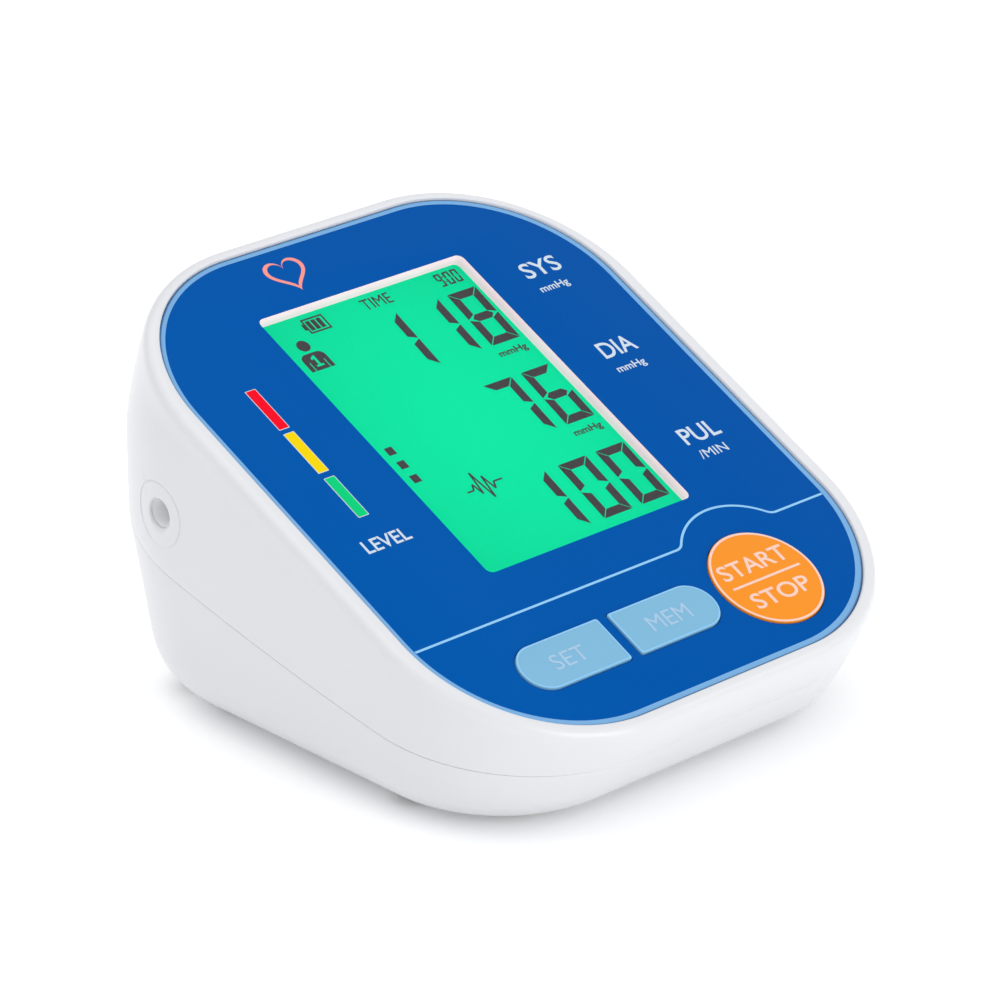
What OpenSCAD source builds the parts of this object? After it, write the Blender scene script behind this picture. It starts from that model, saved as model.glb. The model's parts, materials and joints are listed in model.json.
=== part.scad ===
// Upper arm blood pressure monitor, desktop unit.
// Millimetres. Origin on the table under the middle of the case, +Z up,
// +Y towards the back, +X to the user's right.

/* [Case] */
// Width across the rim of the sloping face
rim_w = 100.6; // [98:0.1:104]
// Length of the rim along the slope
rim_l = 116.1; // [114:0.1:120]
// Corner radius of the rim
rim_r = 32; // [30:0.5:33]
// Slope of the face above the table, in degrees
face_tilt = 26; // [24:0.5:28]
// Height of the key row above the table
key_row_z = 26.5; // [26:0.1:27]
// Distance of the key row in front of the middle of the case
key_row_y = 37.6; // [37:0.1:38]
// Position of the vertical back wall
back_y = 53.1; // [53:0.1:54]
// Wall thickness of both housings
wall = 2.2; // [1.8:0.1:2.4]
// Radius that rolls the walls into the underside
base_round = 12; // [11:0.5:13]
// Radius of the curve that the parting line follows
parting_r = 468; // [420:1:520]

/* [Front panel] */
// Width of the blue panel
panel_w = 94; // [92:0.1:95]
// Length of the blue panel along the slope
panel_l = 110.6; // [108:0.1:111]
// Corner radius of the blue panel
panel_r = 28; // [26:0.5:30]
// Thickness of the panel
panel_t = 1.2; // [0.8:0.1:1.5]
// Width of the display window
window_w = 45.5; // [42:0.1:48]
// Length of the display window along the slope
window_l = 62.2; // [58:0.1:64]
// Distance of the window's lower edge above the key row, along the slope
window_from = 19.8; // [18:0.1:21]

/* [Keys] */
// Height of the SET and MEM keys
key_h = 9.2; // [8:0.1:10]
// Length of each of them
key_l = 20; // [18:0.1:20.5]
// Diameter of the START/STOP key
start_d = 20; // [18:0.1:21]
// Sideways position of the START/STOP key
start_x = 22.1; // [21:0.1:23]
// Travel of a key
key_travel = 0.5; // [0.3:0.1:0.6]
// How far the keys stand proud of the panel
key_proud = 0.4; // [0.2:0.1:0.6]

/* [Batteries] */
// Diameter of an AA cell
cell_d = 14.5; // [14:0.1:14.5]
// Length of an AA cell with its nub
cell_l = 50.5; // [49.5:0.1:50.5]
// Pitch of the four cells
cell_pitch = 14.9; // [14.8:0.1:15]

/* [Air system] */
// Height of the air port on the left wall
port_z = 38.7; // [38:0.1:39.2]
// Distance of the air port behind the middle of the case
port_y = 28.3; // [28:0.1:29]
// Bore of the air port
port_d = 4.8; // [4.2:0.1:5]
// Diameter of the pump motor
motor_d = 24; // [22:0.1:24]
// Outer diameter of the air hoses
hose_d = 4.4; // [4:0.1:4.6]
// Bore of the air hoses
hose_bore = 3; // [2.8:0.1:3]

/* [Hidden] */

fit = 0.25;              // gap between a key or the door and its opening
slip = 0.05;             // radial clearance of a turning or sliding fit
eps = 0.02;              // clears coincident faces in a cut
far = 200;               // longer than the case in any direction

// levels measured square to the face, zero on top of the panel
rim_top = 0.6;           // the rim stands above the panel
deck_low = -2.8;         // underside of the deck under the panel
glass_top = -2.9;
glass_t = 2.2;
polariser_top = -2.0;    // front polariser, seen inside the window opening
guide_top = glass_top - glass_t - 0.1;
guide_t = 2.6;
board_top = -8.1;
board_t = 1.6;
board_low = board_top - board_t;

rim_from = -17.8;                        // lower end of the rim, from the key row
panel_mid = 40.5;                        // middle of the panel, from the key row
window_mid = window_from + window_l / 2;
set_x = -22.5;                           // middle of the SET key
mem_x = -0.2;                            // middle of the MEM key
key_flange = 0.7;                        // flange that holds a key under the deck
key_well_r = 2.6;                        // well round the post under a key
key_post_low = -4.0;
switch_h = 3.3;
switch_well = 0.8;                       // floor of the switch body under its plunger
plunger_r = 1.7;

foot_h = 1;                              // rubber feet under the flat base
base_z = foot_h;
floor_z = base_z + wall;
side_x = 51.2;                           // widest half-width, below the rim
low_x = 48.2;                            // half-width where the base starts to roll in
low_front = -47.8;                       // front wall at that height
low_back = back_y - 0.2;
back_r = 28.5;                           // plan radius of the back corners at the base
upper_back_r = 27;                       // and above it
front_r = 27;                            // plan radius of the front corners at the base
parting_y = -106.5;                      // centre of the parting curve
parting_z = 8.6 + parting_r;
parting_gap = 0.15;

// cells and their box
cell_r = cell_d / 2;
cell_z = 3.4 + cell_r;
cell_y0 = -7.2;                          // front end of the cells
box_x = 31.6;
box_front = -13.6;
box_back = 46.2;
box_top = 19.6;
cavity_x = 30.0;
cavity_front = -12.1;
cavity_back = 44.6;
cavity_top = 18.2;
door_x = 31.0;                           // half-width of the door
door_t = 1.9;
door_front = -13.0;
tongue = 1.2;                            // the door's side tongues
tongue_z = [1.8, 2.8];

// screws
screw_r = 1.2;
screw_head_r = 2.6;
screw_bore_r = 1.5;
case_posts = [[-36.5, 38], [36.5, 38], [-37.5, -18], [37.5, -18]];
post_r = 4.7;
upper_post_r = 3.3;
feet_at = [[-35.8, 26], [35.8, 26], [-28, -30], [28, -30]];
foot_r = 2.8;
board_posts = [[-31, 14], [31, 14], [-31, 58.5], [31, 66]];
board_notch = [-28.8, 61.5];             // corner left free for the slow leak valve

// pump on its axis along X
pump_y = 37.2;
pump_z = 36.5;
motor_r = motor_d / 2;
motor_x = [0.6, 31.6];
head_r = 12.3;                            // pump head, crankcase to cover
crank_x = motor_x[0] - 4;                 // front of the crank disc
head_x = motor_x[0] - 12;                 // joint between crankcase and diaphragm

clamp_screws = [13.5, 22.5];
clamp_y = 21.5;

// air system
barb_r = 1.4;
barb_bore_r = 0.75;
port_r = 3.35;                            // outside of the port's sleeve
port_ring_r = 5.75;                       // faint ring in the wall round the port
port_inner_x = -44.2;                     // inner end of the port socket
nozzle_x = -36;                           // the valve's hose nozzle
manifold_x = -32;
manifold_s = 7;
valve_x = -38.3;
valve_y = 27;
valve_z = [9.2, 24.2];                    // bottom and top of the yoke
yoke_s = 5.5;                             // half-width of the yoke
core_r = 2;
spring_gap = 3.1;                         // flange of the core below the yoke

socket_y = 15;
socket_z = 32.5;
socket_r = 2.85;                          // takes a 5.5 mm barrel plug
socket_pin_r = 1;
socket_depth = 10.9;
socket_sleeve_r = 4.1;
socket_mouth = side_x - 0.8;

// plan places of the side plates of the motor's clamp
clamp_x = [11, 25];
diaphragm_r = 5.6;                        // pitch radius of the pump's three chambers
chamber_r = 2.2;

white = [0.90, 0.91, 0.93];

// ---------- helpers ----------

// children move onto the sloping face, origin on the key row
module on_face() {
  translate([0, -key_row_y, key_row_z]) rotate([face_tilt, 0, 0]) children();
}

// rounded rectangle with true arcs, centred
module rounded_rect(w, l, r) {
  square([w - 2 * r, l], center = true);
  square([w, l - 2 * r], center = true);
  for (sx = [-1, 1], sy = [-1, 1])
    translate([sx * (w / 2 - r), sy * (l / 2 - r)]) circle(r, $fn = 96);
}

// a bar between two corners
module bar(lo, hi) {
  translate(lo) cube([hi[0] - lo[0], hi[1] - lo[1], hi[2] - lo[2]]);
}

// cylinder along X from a to b
module rod_x(r, a, b, y, z) {
  translate([a, y, z]) rotate([0, 90, 0]) cylinder(r = r, h = b - a, $fn = 48);
}

// cylinder along Y from a to b
module rod_y(r, x, a, b, z) {
  translate([x, b, z]) rotate([90, 0, 0]) cylinder(r = r, h = b - a, $fn = 48);
}

// cylinder along Z from a to b
module rod_z(r, x, y, a, b) {
  translate([x, y, a]) cylinder(r = r, h = b - a, $fn = 48);
}

// one corner disc of the rim, square to the face
module rim_disc(sx, v, g, r_cut, n0, n1) {
  translate([sx * (rim_w / 2 - rim_r), v, n0])
    cylinder(r = rim_r - g - r_cut, h = n1 - n0, $fn = 40);
}

// outer form of the case, drawn in by g
module body_form(g) {
  hull() {
    on_face() for (sx = [-1, 1], v = [rim_from + rim_r, rim_from + rim_l - rim_r]) {
      rim_disc(sx, v, g, 0, -4.4, -1.1);
      rim_disc(sx, v, g, 0.5, -1.1, -0.2);
      rim_disc(sx, v, g, 1.7, -0.2, rim_top);
    }
    for (sx = [-1, 1]) {
      intersection() {
        translate([sx * (side_x - upper_back_r), back_y - upper_back_r, 33.5])
          cylinder(r = upper_back_r - g, h = 17, $fn = 40);
        bar([-side_x, back_y - upper_back_r, 30], [side_x, back_y, 60]);
      }
      base_corner(sx * (low_x - back_r), low_back - back_r, back_r, g);
      base_corner(sx * (low_x - front_r), low_front + front_r, front_r, g);
    }
  }
}

// one lower corner, rolled under
module base_corner(x, y, r, g) {
  translate([x, y, base_z + base_round])
    rotate_extrude($fn = 40)
      intersection() {
        translate([r - base_round, 0]) circle(base_round - g, $fn = 40);
        translate([0, -base_round]) square([r, base_round]);
      }
}

// everything above the parting surface, which is a cylinder along X
module above_parting(gap) {
  translate([-far / 2, parting_y, parting_z]) rotate([0, 90, 0])
    cylinder(r = parting_r + gap, h = far, $fn = 360);
}

// outline of a key with one round end; side is -1 for the left key
module key_outline(side, grow) {
  r = key_h / 2 + grow;
  translate([side * (key_l / 2 - key_h / 2), 0]) circle(r, $fn = 64);
  flat = key_l / 2 - key_h / 2;
  translate([side < 0 ? -flat : -key_l / 2 - grow, -r]) square([flat + key_l / 2 + grow, 2 * r]);
}

module key_openings(grow) {
  translate([set_x, 0]) key_outline(-1, grow);
  translate([mem_x, 0]) key_outline(1, grow);
  translate([start_x, 0]) circle(start_d / 2 + grow, $fn = 96);
}

module window_outline(grow) {
  translate([0, window_mid]) rounded_rect(window_w + 2 * grow, window_l + 2 * grow, 1.3 + grow);
}

// point on a cubic curve
function curve(p, t) =
  pow(1 - t, 3) * p[0] + 3 * t * pow(1 - t, 2) * p[1] + 3 * t * t * (1 - t) * p[2] + pow(t, 3) * p[3];

// route that runs straight at both ends and curves between
function route(p, n) = concat([p[0]], [for (i = [0:n]) curve([p[1], p[2], p[3], p[4]], i / n)], [p[5]]);

function unit(v) = v / norm(v);
function ahead(pts, i) = unit(pts[min(i + 1, len(pts) - 1)] - pts[max(i - 1, 0)]);

// ring of points round a route; up must not be along the route
function ring(pts, i, r, sides, up) =
  let (d = ahead(pts, i), a = unit(cross(d, up)), b = cross(d, a))
  [for (k = [0:sides - 1]) pts[i] + r * (cos(360 * k / sides) * a + sin(360 * k / sides) * b)];

// solid swept along a route
module sweep(pts, r, sides, up) {
  n = len(pts);
  verts = [for (i = [0:n - 1]) each ring(pts, i, r, sides, up)];
  walls = [for (i = [0:n - 2], k = [0:sides - 1])
    let (a = i * sides + k, b = i * sides + (k + 1) % sides) [a, b, b + sides, a + sides]];
  start = [for (k = [0:sides - 1]) sides - 1 - k];
  end = [for (k = [0:sides - 1]) (n - 1) * sides + k];
  polyhedron(verts, concat([start], walls, [end]), convexity = 6);
}

// hollow tube swept along a route
module sweep_tube(pts, r_out, r_in, sides, up) {
  n = len(pts);
  m = n * sides;
  verts = concat([for (i = [0:n - 1]) each ring(pts, i, r_out, sides, up)],
                 [for (i = [0:n - 1]) each ring(pts, i, r_in, sides, up)]);
  outer = [for (i = [0:n - 2], k = [0:sides - 1])
    let (a = i * sides + k, b = i * sides + (k + 1) % sides) [a, b, b + sides, a + sides]];
  inner = [for (f = outer) [f[3] + m, f[2] + m, f[1] + m, f[0] + m]];
  start = [for (k = [0:sides - 1]) let (b = (k + 1) % sides) [b, k, k + m, b + m]];
  e = (n - 1) * sides;
  end = [for (k = [0:sides - 1]) let (b = (k + 1) % sides) [e + k, e + b, e + b + m, e + k + m]];
  polyhedron(verts, concat(outer, inner, start, end), convexity = 8);
}

// straight hose along X, Y or Z, given by a rotation
module straight_hose(p, rot, l) {
  translate(p) rotate(rot) difference() {
    cylinder(d = hose_d, h = l, $fn = 48);
    translate([0, 0, -eps]) cylinder(d = hose_bore, h = l + 2 * eps, $fn = 48);
  }
}

// hose barb of length l with its bore
module barb(p, rot, l) {
  translate(p) rotate(rot) difference() {
    cylinder(r = barb_r, h = l, $fn = 40);
    translate([0, 0, -eps]) cylinder(r = barb_bore_r, h = l + 2 * eps, $fn = 32);
  }
}

// cheese-head screw pointing along +Z, head below
module screw(l, r, head_r, head_h) {
  difference() {
    union() {
      cylinder(r = r, h = l, $fn = 32);
      translate([0, 0, -head_h]) cylinder(r = head_r, h = head_h, $fn = 40);
    }
    for (a = [0, 90]) rotate([0, 0, a])
      translate([-head_r * 0.6, -0.35, -head_h - eps]) cube([head_r * 1.2, 0.7, head_h * 0.55]);
  }
}

// top of a lower screw post, just below the parting line
function post_joint(y) = parting_z - sqrt(pow(parting_r, 2) - pow(y - parting_y, 2)) - 0.8;

// ---------- case ----------

module upper_housing() color(white) {
  difference() {
    union() {
      difference() {
        intersection() {
          body_form(0);
          above_parting(0);
        }
        difference() {
          body_form(wall);
          on_face() translate([-far / 2, -far / 2, deck_low]) cube([far, far, 20]);
        }
      }
      on_face() for (p = board_posts) rod_z(2.2, p[0], p[1], board_top + eps, deck_low + eps);
      intersection() {
        body_form(wall / 2);
        for (p = case_posts)
          rod_z(upper_post_r, p[0], p[1], post_joint(p[1]) + 0.2, 70);
      }
    }
    on_face() {
      translate([0, panel_mid, -panel_t]) linear_extrude(5) rounded_rect(panel_w + 0.2, panel_l + 0.2, panel_r + 0.1);
      translate([0, 0, -6]) linear_extrude(6) {
        window_outline(0);
        key_openings(fit);
      }
      for (p = board_posts) rod_z(1.05, p[0], p[1], board_top - 1, deck_low - 0.4);
    }
    for (p = case_posts) rod_z(screw_r + slip, p[0], p[1], 0, post_joint(p[1]) + 9.5);
    air_port_cut();
    rod_x(socket_sleeve_r + 0.1, side_x - 8, side_x + 5, socket_y, socket_z);
  }
}

module air_port_cut() {
  rod_x(port_r + slip, -side_x - 5, -side_x + 6, port_y, port_z);
  difference() {
    rod_x(port_ring_r, -side_x - 5, -side_x + 0.65, port_y, port_z);
    rod_x(port_ring_r - 0.3, -side_x - 6, -side_x + 1, port_y, port_z);
  }
}

module lower_housing() color(white) {
  difference() {
    union() {
      difference() {
        body_form(0);
        body_form(wall);
        above_parting(parting_gap);
      }
      intersection() {
        body_form(wall / 2);
        union() {
          bar([-box_x, box_front, base_z], [box_x, box_back, box_top]);
          for (s = [-1, 1]) bar([s * 32.6 - 1.8, box_front, base_z], [s * 32.6 + 1.8, box_back, 4.2]);
          for (p = case_posts) rod_z(post_r, p[0], p[1], base_z, post_joint(p[1]));
          for (x = clamp_screws) rod_z(2.6, x, clamp_y, box_top - 1, 27.5);
          for (y = [valve_y - yoke_s, valve_y + yoke_s - 1.3])
            bar([valve_x - yoke_s, y, base_z], [valve_x + yoke_s, y + 1.3, valve_z[0] - 0.05]);
        }
      }
    }
    bar([-cavity_x, cavity_front, floor_z - 1.2], [cavity_x, cavity_back, cavity_top]);
    bar([-door_x - fit, door_front - fit, 0], [door_x + fit, far, base_z + door_t + 0.2]);
    bar([-door_x - tongue - fit, door_front - fit, tongue_z[0] - 0.15],
        [door_x + tongue + fit, far, tongue_z[1] + 0.25]);
    for (p = case_posts) {
      rod_z(screw_bore_r, p[0], p[1], 0, 60);
      rod_z(screw_head_r + 0.3, p[0], p[1], 0, post_joint(p[1]) - 5);
    }
    for (x = clamp_screws) rod_z(1.05, x, clamp_y, box_top + 0.8, 30);
    for (p = feet_at) rod_z(foot_r + 0.1, p[0], p[1], 0, base_z + 0.5);
  }
}

module battery_door() color(white) {
  difference() {
    intersection() {
      body_form(0);
      union() {
        bar([-door_x, door_front, base_z], [door_x, 60, base_z + door_t]);
        bar([-door_x - tongue, door_front, tongue_z[0]], [door_x + tongue, 60, tongue_z[1]]);
      }
    }
    for (i = [0:5]) bar([-9 + i * 0.8, 33 + i * 1.6, 0], [9 - i * 0.8, 33.8 + i * 1.6, base_z + 0.5]);
  }
}

module rubber_feet() color("dimgray")
  for (p = feet_at) {
    rod_z(foot_r, p[0], p[1], 0, base_z + 0.45);
  }

module case_screws() color("silver")
  for (p = case_posts) translate([p[0], p[1], post_joint(p[1]) - 5.02]) screw(13.5, screw_r, screw_head_r, 1.8);

// ---------- face ----------

module front_panel() color([0, 0.33, 0.67])
  on_face() translate([0, 0, -panel_t + eps]) linear_extrude(panel_t - eps) difference() {
    translate([0, panel_mid]) rounded_rect(panel_w, panel_l, panel_r);
    window_outline(0);
    key_openings(fit);
  }

module display_window() color([0.8, 0.9, 0.95, 0.4])
  on_face() translate([0, 0, -panel_t + eps]) linear_extrude(panel_t - 0.1) window_outline(-0.05);

// key cap with a retaining flange under the deck and a post to its switch
module key_cap(at) {
  on_face() {
    difference() {
      translate([0, 0, deck_low - 0.3]) linear_extrude(key_proud - deck_low + 0.3) children(0);
      translate([at, 0, deck_low - 1]) linear_extrude(1.7) circle(key_well_r, $fn = 40);
    }
    translate([0, 0, deck_low - 0.9]) linear_extrude(key_flange) difference() {
      children(1);
      translate([at, 0]) circle(key_well_r, $fn = 40);
    }
    rod_z(2, at, 0, key_post_low, deck_low + 0.8);
  }
}

module set_button() color([0.54, 0.75, 0.87]) key_cap(set_x) {
  translate([set_x, 0]) key_outline(-1, 0);
  translate([set_x, 0]) key_outline(-1, key_flange);
}

module mem_button() color([0.54, 0.75, 0.87]) key_cap(mem_x) {
  translate([mem_x, 0]) key_outline(1, 0);
  translate([mem_x, 0]) key_outline(1, key_flange);
}

module start_button() color([1, 0.6, 0.18]) key_cap(start_x) {
  translate([start_x, 0]) circle(start_d / 2, $fn = 96);
  translate([start_x, 0]) circle(start_d / 2 + key_flange, $fn = 96);
}

// ---------- display ----------

module display_glass() color([0, 0.88, 0.63])
  on_face() {
    bar([-26, 15, glass_top - 1.1], [26, 85.4, glass_top]);
    bar([-26, 17.6, glass_top - glass_t], [26, 85.4, glass_top - 1.1]);
    translate([0, 0, glass_top - eps]) linear_extrude(polariser_top - glass_top + eps) window_outline(-0.2);
  }

module display_frame() color("white")
  on_face() translate([0, 50.1, board_top + 0.1]) linear_extrude(deck_low - 0.1 - board_top - 0.1) difference() {
    rounded_rect(57, 75.8, 1.5);
    square([52.3, 71.1], center = true);
  }

module light_guide() color([0.9, 1, 0.95])
  on_face() bar([-25.5, 18.2, guide_top - guide_t], [25.5, 82.6, guide_top]);

module backlight_leds() color("gold")
  on_face() {
    bar([-24, 84.2, guide_top - guide_t], [24, 85.2, guide_top]);
    for (i = [-2:2]) bar([i * 9 - 1.7, 82.8, guide_top - 2], [i * 9 + 1.7, 84.15, guide_top - 0.6]);
  }

module display_connector() color([0.9, 0.5, 0.6])
  on_face() bar([-24, 15.1, board_top + 0.05], [24, 17.3, glass_top - 1.15]);

// ---------- board ----------

module main_board() color("green")
  on_face() difference() {
    bar([-33.5, -10.6, board_low], [33.5, 71.5, board_top]);
    bar([-far, board_notch[1], board_low - 1], [board_notch[0], far, board_top + 1]);
    for (p = board_posts) rod_z(1.2, p[0], p[1], board_low - 1, board_top + 1);
  }

module board_chips() color([0.15, 0.15, 0.16])
  on_face() {
    bar([-8, 42, board_low - 1.5], [6, 56, board_low - eps]);
    bar([-26, 2, board_low - 1.4], [-18, 8, board_low - eps]);
    bar([12, 44, board_low - 1.3], [17, 50, board_low - eps]);
  }

module board_parts() color("tan")
  on_face() for (i = [0:6]) {
    bar([-6 + i * 4, 34, board_low - 0.7], [-4 + i * 4, 35.2, board_low - eps]);
    bar([-12 + i * 4, -7, board_low - 0.7], [-10 + i * 4, -5.8, board_low - eps]);
  }

module crystal() color("silver")
  on_face() bar([-16, 46, board_low - 3.4], [-12, 56, board_low - eps]);

module capacitors() color([0.2, 0.25, 0.45])
  on_face() for (p = [[22, 0], [24, 28]]) rod_z(3, p[0], p[1], board_low - 6, board_low - eps);

module buzzer() color([0.12, 0.12, 0.12])
  on_face() difference() {
    rod_z(5, -2, 2, board_low - 5, board_low - eps);
    rod_z(0.8, -2, 2, board_low - 6, board_low - 3);
  }

module board_screws() color("silver")
  on_face() for (p = board_posts) translate([p[0], p[1], board_low - 0.02]) screw(6, 1, 1.9, 1.3);

// tact switch body with a well for its plunger
module switch_bodies() color([0.2, 0.2, 0.22])
  on_face() for (x = [set_x, mem_x, start_x]) difference() {
    bar([x - 3, -3, board_top + eps], [x + 3, 3, board_top + switch_h]);
    rod_z(plunger_r + 0.2, x, 0, board_top + switch_well, board_top + 5);
  }

module plunger(x) color([0.1, 0.1, 0.1])
  on_face() rod_z(plunger_r, x, 0, board_top + switch_well + key_travel + 0.2, key_post_low - eps);

module set_plunger() plunger(set_x);
module mem_plunger() plunger(mem_x);
module start_plunger() plunger(start_x);

module pressure_sensor() color([0.85, 0.83, 0.78])
  on_face() difference() {
    union() {
      bar([-30.5, 35, board_low - 5.5], [-22, 45, board_low - eps]);
      translate([-35.4, 40, board_low - 3]) rotate([0, 90, 0]) cylinder(r = barb_r, h = 5, $fn = 40);
    }
    translate([-36, 40, board_low - 3]) rotate([0, 90, 0]) cylinder(r = barb_bore_r, h = 9, $fn = 32);
  }

// ---------- pump ----------

module pump_motor() color("silver")
  difference() {
    union() {
      rod_x(motor_r, motor_x[0], motor_x[1], pump_y, pump_z);
      rod_x(3, motor_x[1] - eps, motor_x[1] + 0.8, pump_y, pump_z);
    }
    rod_x(motor_r - 1, motor_x[0] + 1.2, motor_x[1] - 1.2, pump_y, pump_z);
    rod_x(1 + slip, motor_x[0] - 1, motor_x[1] + 2, pump_y, pump_z);
  }

module pump_magnets() color([0.3, 0.3, 0.32])
  difference() {
    rod_x(motor_r - 1.05, motor_x[0] + 4, motor_x[1] - 6, pump_y, pump_z);
    rod_x(8.9, motor_x[0] + 3, motor_x[1] - 5, pump_y, pump_z);
    for (s = [0, 1]) translate([0, pump_y, pump_z]) rotate([s * 180 + 90, 0, 0])
      translate([0, -1.5, 0]) cube([50, 3, 20]);
  }

module pump_rotor() color([0.72, 0.45, 0.2]) {
  rod_x(1, crank_x - 4, motor_x[1] + 0.7, pump_y, pump_z);
  rod_x(8.3, motor_x[0] + 5, motor_x[1] - 7, pump_y, pump_z);
  rod_x(3, motor_x[1] - 6.6, motor_x[1] - 2, pump_y, pump_z);
  rod_x(5, crank_x - 4, crank_x, pump_y, pump_z);
  translate([crank_x - 5.8, pump_y + 2.2, pump_z]) rotate([0, 90, 0]) cylinder(r = 0.8, h = 2.5, $fn = 32);
}

module pump_crankcase() color([0.93, 0.93, 0.9])
  difference() {
    rod_x(head_r, head_x, motor_x[0] - 0.05, pump_y, pump_z);
    rod_x(9, head_x - 1, motor_x[0] - 1.8, pump_y, pump_z);
    rod_x(2, motor_x[0] - 3, motor_x[0] + 2, pump_y, pump_z);
  }

module pump_diaphragm() color([0.25, 0.25, 0.27]) {
  difference() {
    rod_x(head_r, head_x - 1.3, head_x - 0.05, pump_y, pump_z);
    for (a = [0, 120, 240]) translate([head_x - 2, pump_y + diaphragm_r * cos(a), pump_z + diaphragm_r * sin(a)])
      rotate([0, 90, 0]) cylinder(r = chamber_r, h = 1.5, $fn = 40);
  }
  for (a = [0, 120, 240]) translate([head_x - 1.3, pump_y + diaphragm_r * cos(a), pump_z + diaphragm_r * sin(a)])
    rotate([0, 90, 0]) difference() {
      cylinder(r = chamber_r + 0.4, h = 3, $fn = 40);
      translate([0, 0, -1]) cylinder(r = chamber_r, h = 3.2, $fn = 40);
    }
}

module pump_cover() color([0.93, 0.93, 0.9]) {
  difference() {
    rod_x(head_r, head_x - 11, head_x - 1.35, pump_y, pump_z);
    for (a = [0, 120, 240]) translate([head_x - 5, pump_y + diaphragm_r * cos(a), pump_z + diaphragm_r * sin(a)])
      rotate([0, 90, 0]) cylinder(r = chamber_r, h = 6, $fn = 40);
    rod_x(barb_bore_r, head_x - 16, head_x - 3, port_y, port_z);
  }
  barb([head_x - 13.9, port_y, port_z], [0, 90, 0], 2.9 + eps);
}

module pump_clamp() color("gainsboro")
  difference() {
    union() {
      rod_x(motor_r + 1.1, clamp_x[0], clamp_x[1], pump_y, pump_z);
      bar([clamp_x[0], clamp_y - 2.9, 27.55], [clamp_x[1], pump_y - 7.2, 29]);
    }
    rod_x(motor_r + slip, clamp_x[0] - 1, clamp_x[1] + 1, pump_y, pump_z);
    for (x = clamp_screws) rod_z(1.2, x, clamp_y, 20, 35);
  }

module pump_clamp_screws() color("silver")
  for (x = clamp_screws) translate([x, clamp_y, 29.05]) rotate([180, 0, 0]) screw(5.5, 1, 2, 1.3);

// ---------- valve and air path ----------

module valve_yoke() color("silver")
  difference() {
    bar([valve_x - yoke_s, valve_y - yoke_s, valve_z[0]], [valve_x + yoke_s, valve_y + yoke_s, valve_z[1]]);
    bar([valve_x - 7, valve_y - 4.5, valve_z[0] + 1.2], [valve_x + 7, valve_y + 4.5, valve_z[1] - 1.2]);
    rod_z(core_r + 0.1, valve_x, valve_y, valve_z[0] - 1, valve_z[0] + 3);
    rod_z(hose_d / 2 + 0.1, nozzle_x, valve_y, valve_z[1] - 2, valve_z[1] + 1);
  }

module valve_coil() color([0.75, 0.4, 0.15])
  difference() {
    union() {
      rod_z(4.2, valve_x, valve_y, valve_z[0] + 1.3, valve_z[0] + 8.9);
      for (z = [valve_z[0] + 1.25, valve_z[0] + 8]) rod_z(4.4, valve_x, valve_y, z, z + 0.9);
    }
    rod_z(core_r + slip, valve_x, valve_y, valve_z[0], valve_z[1]);
  }

// armature with a flange that the spring pushes down
module valve_core() color("lightgray") {
  rod_z(core_r, valve_x, valve_y, valve_z[0] - spring_gap - 0.1, valve_z[0] + 7.6);
  rod_z(3.2, valve_x, valve_y, valve_z[0] - spring_gap - 0.7, valve_z[0] - spring_gap);
}

// centre lines of coils along Y and along Z
function coil(x, y0, y1, z, r, turns, steps) =
  [for (i = [0:steps]) let (t = i / steps, a = 360 * turns * t)
    [x + r * cos(a), y0 + (y1 - y0) * t, z + r * sin(a)]];
function coil_z(x, y, z0, z1, r, turns, steps) =
  [for (p = coil(x, z0, z1, y, r, turns, steps)) [p[0], p[2], p[1]]];

module valve_spring() color("gainsboro")
  sweep(coil_z(valve_x, valve_y, valve_z[0] - spring_gap + 0.3, valve_z[0] - 0.25, core_r + 0.5, 3, 42),
        0.2, 6, [0, 0, 1]);

// seat and chamber in the yoke's top, with the hose nozzle
module valve_nozzle() color([0.93, 0.93, 0.9]) {
  difference() {
    bar([valve_x - 4.4, valve_y - 4.4, valve_z[0] + 9.3], [valve_x + 5.4, valve_y + 4.4, valve_z[1] - 1.3]);
    rod_z(1.2, valve_x, valve_y, valve_z[0] + 9, valve_z[0] + 12);
    rod_x(barb_bore_r, valve_x, nozzle_x, valve_y, valve_z[0] + 11);
    rod_z(barb_bore_r, nozzle_x, valve_y, valve_z[0] + 10.5, valve_z[1]);
  }
  barb([nozzle_x, valve_y, valve_z[1] - 1.3 - eps], [0, 0, 0], 3.5);
}

module air_manifold() color([0.93, 0.93, 0.9]) {
  s = manifold_s / 2;
  difference() {
    bar([manifold_x - s, port_y - s, port_z - s], [manifold_x + s, port_y + s, port_z + s]);
    rod_x(barb_bore_r, manifold_x - s - 1, manifold_x + s + 1, port_y, port_z);
    rod_z(barb_bore_r, manifold_x, port_y, port_z - s - 1, port_z + s + 1);
    rod_y(barb_bore_r, manifold_x, port_y - s - 1, port_y, port_z);
  }
  barb([manifold_x - s + eps, port_y, port_z], [0, -90, 0], 3.4);
  barb([manifold_x + s - eps, port_y, port_z], [0, 90, 0], 2.8);
  barb([manifold_x, port_y, port_z - s + eps], [180, 0, 0], 3);
  barb([manifold_x, port_y, port_z + s - eps], [0, 0, 0], 4);
  barb([manifold_x, port_y - s + eps, port_z], [90, 0, 0], 4);
}

module slow_leak_valve() color([0.3, 0.3, 0.32])
  difference() {
    union() {
      rod_z(2.6, manifold_x, port_y, port_z + 3.7, port_z + 8.6);
      rod_z(1.7, manifold_x, port_y, port_z + 8.5, port_z + 10.5);
    }
    rod_z(hose_bore / 2, manifold_x, port_y, port_z + 3, port_z + 8.1);
    rod_z(0.4, manifold_x, port_y, port_z + 8, port_z + 11);
  }

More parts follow.
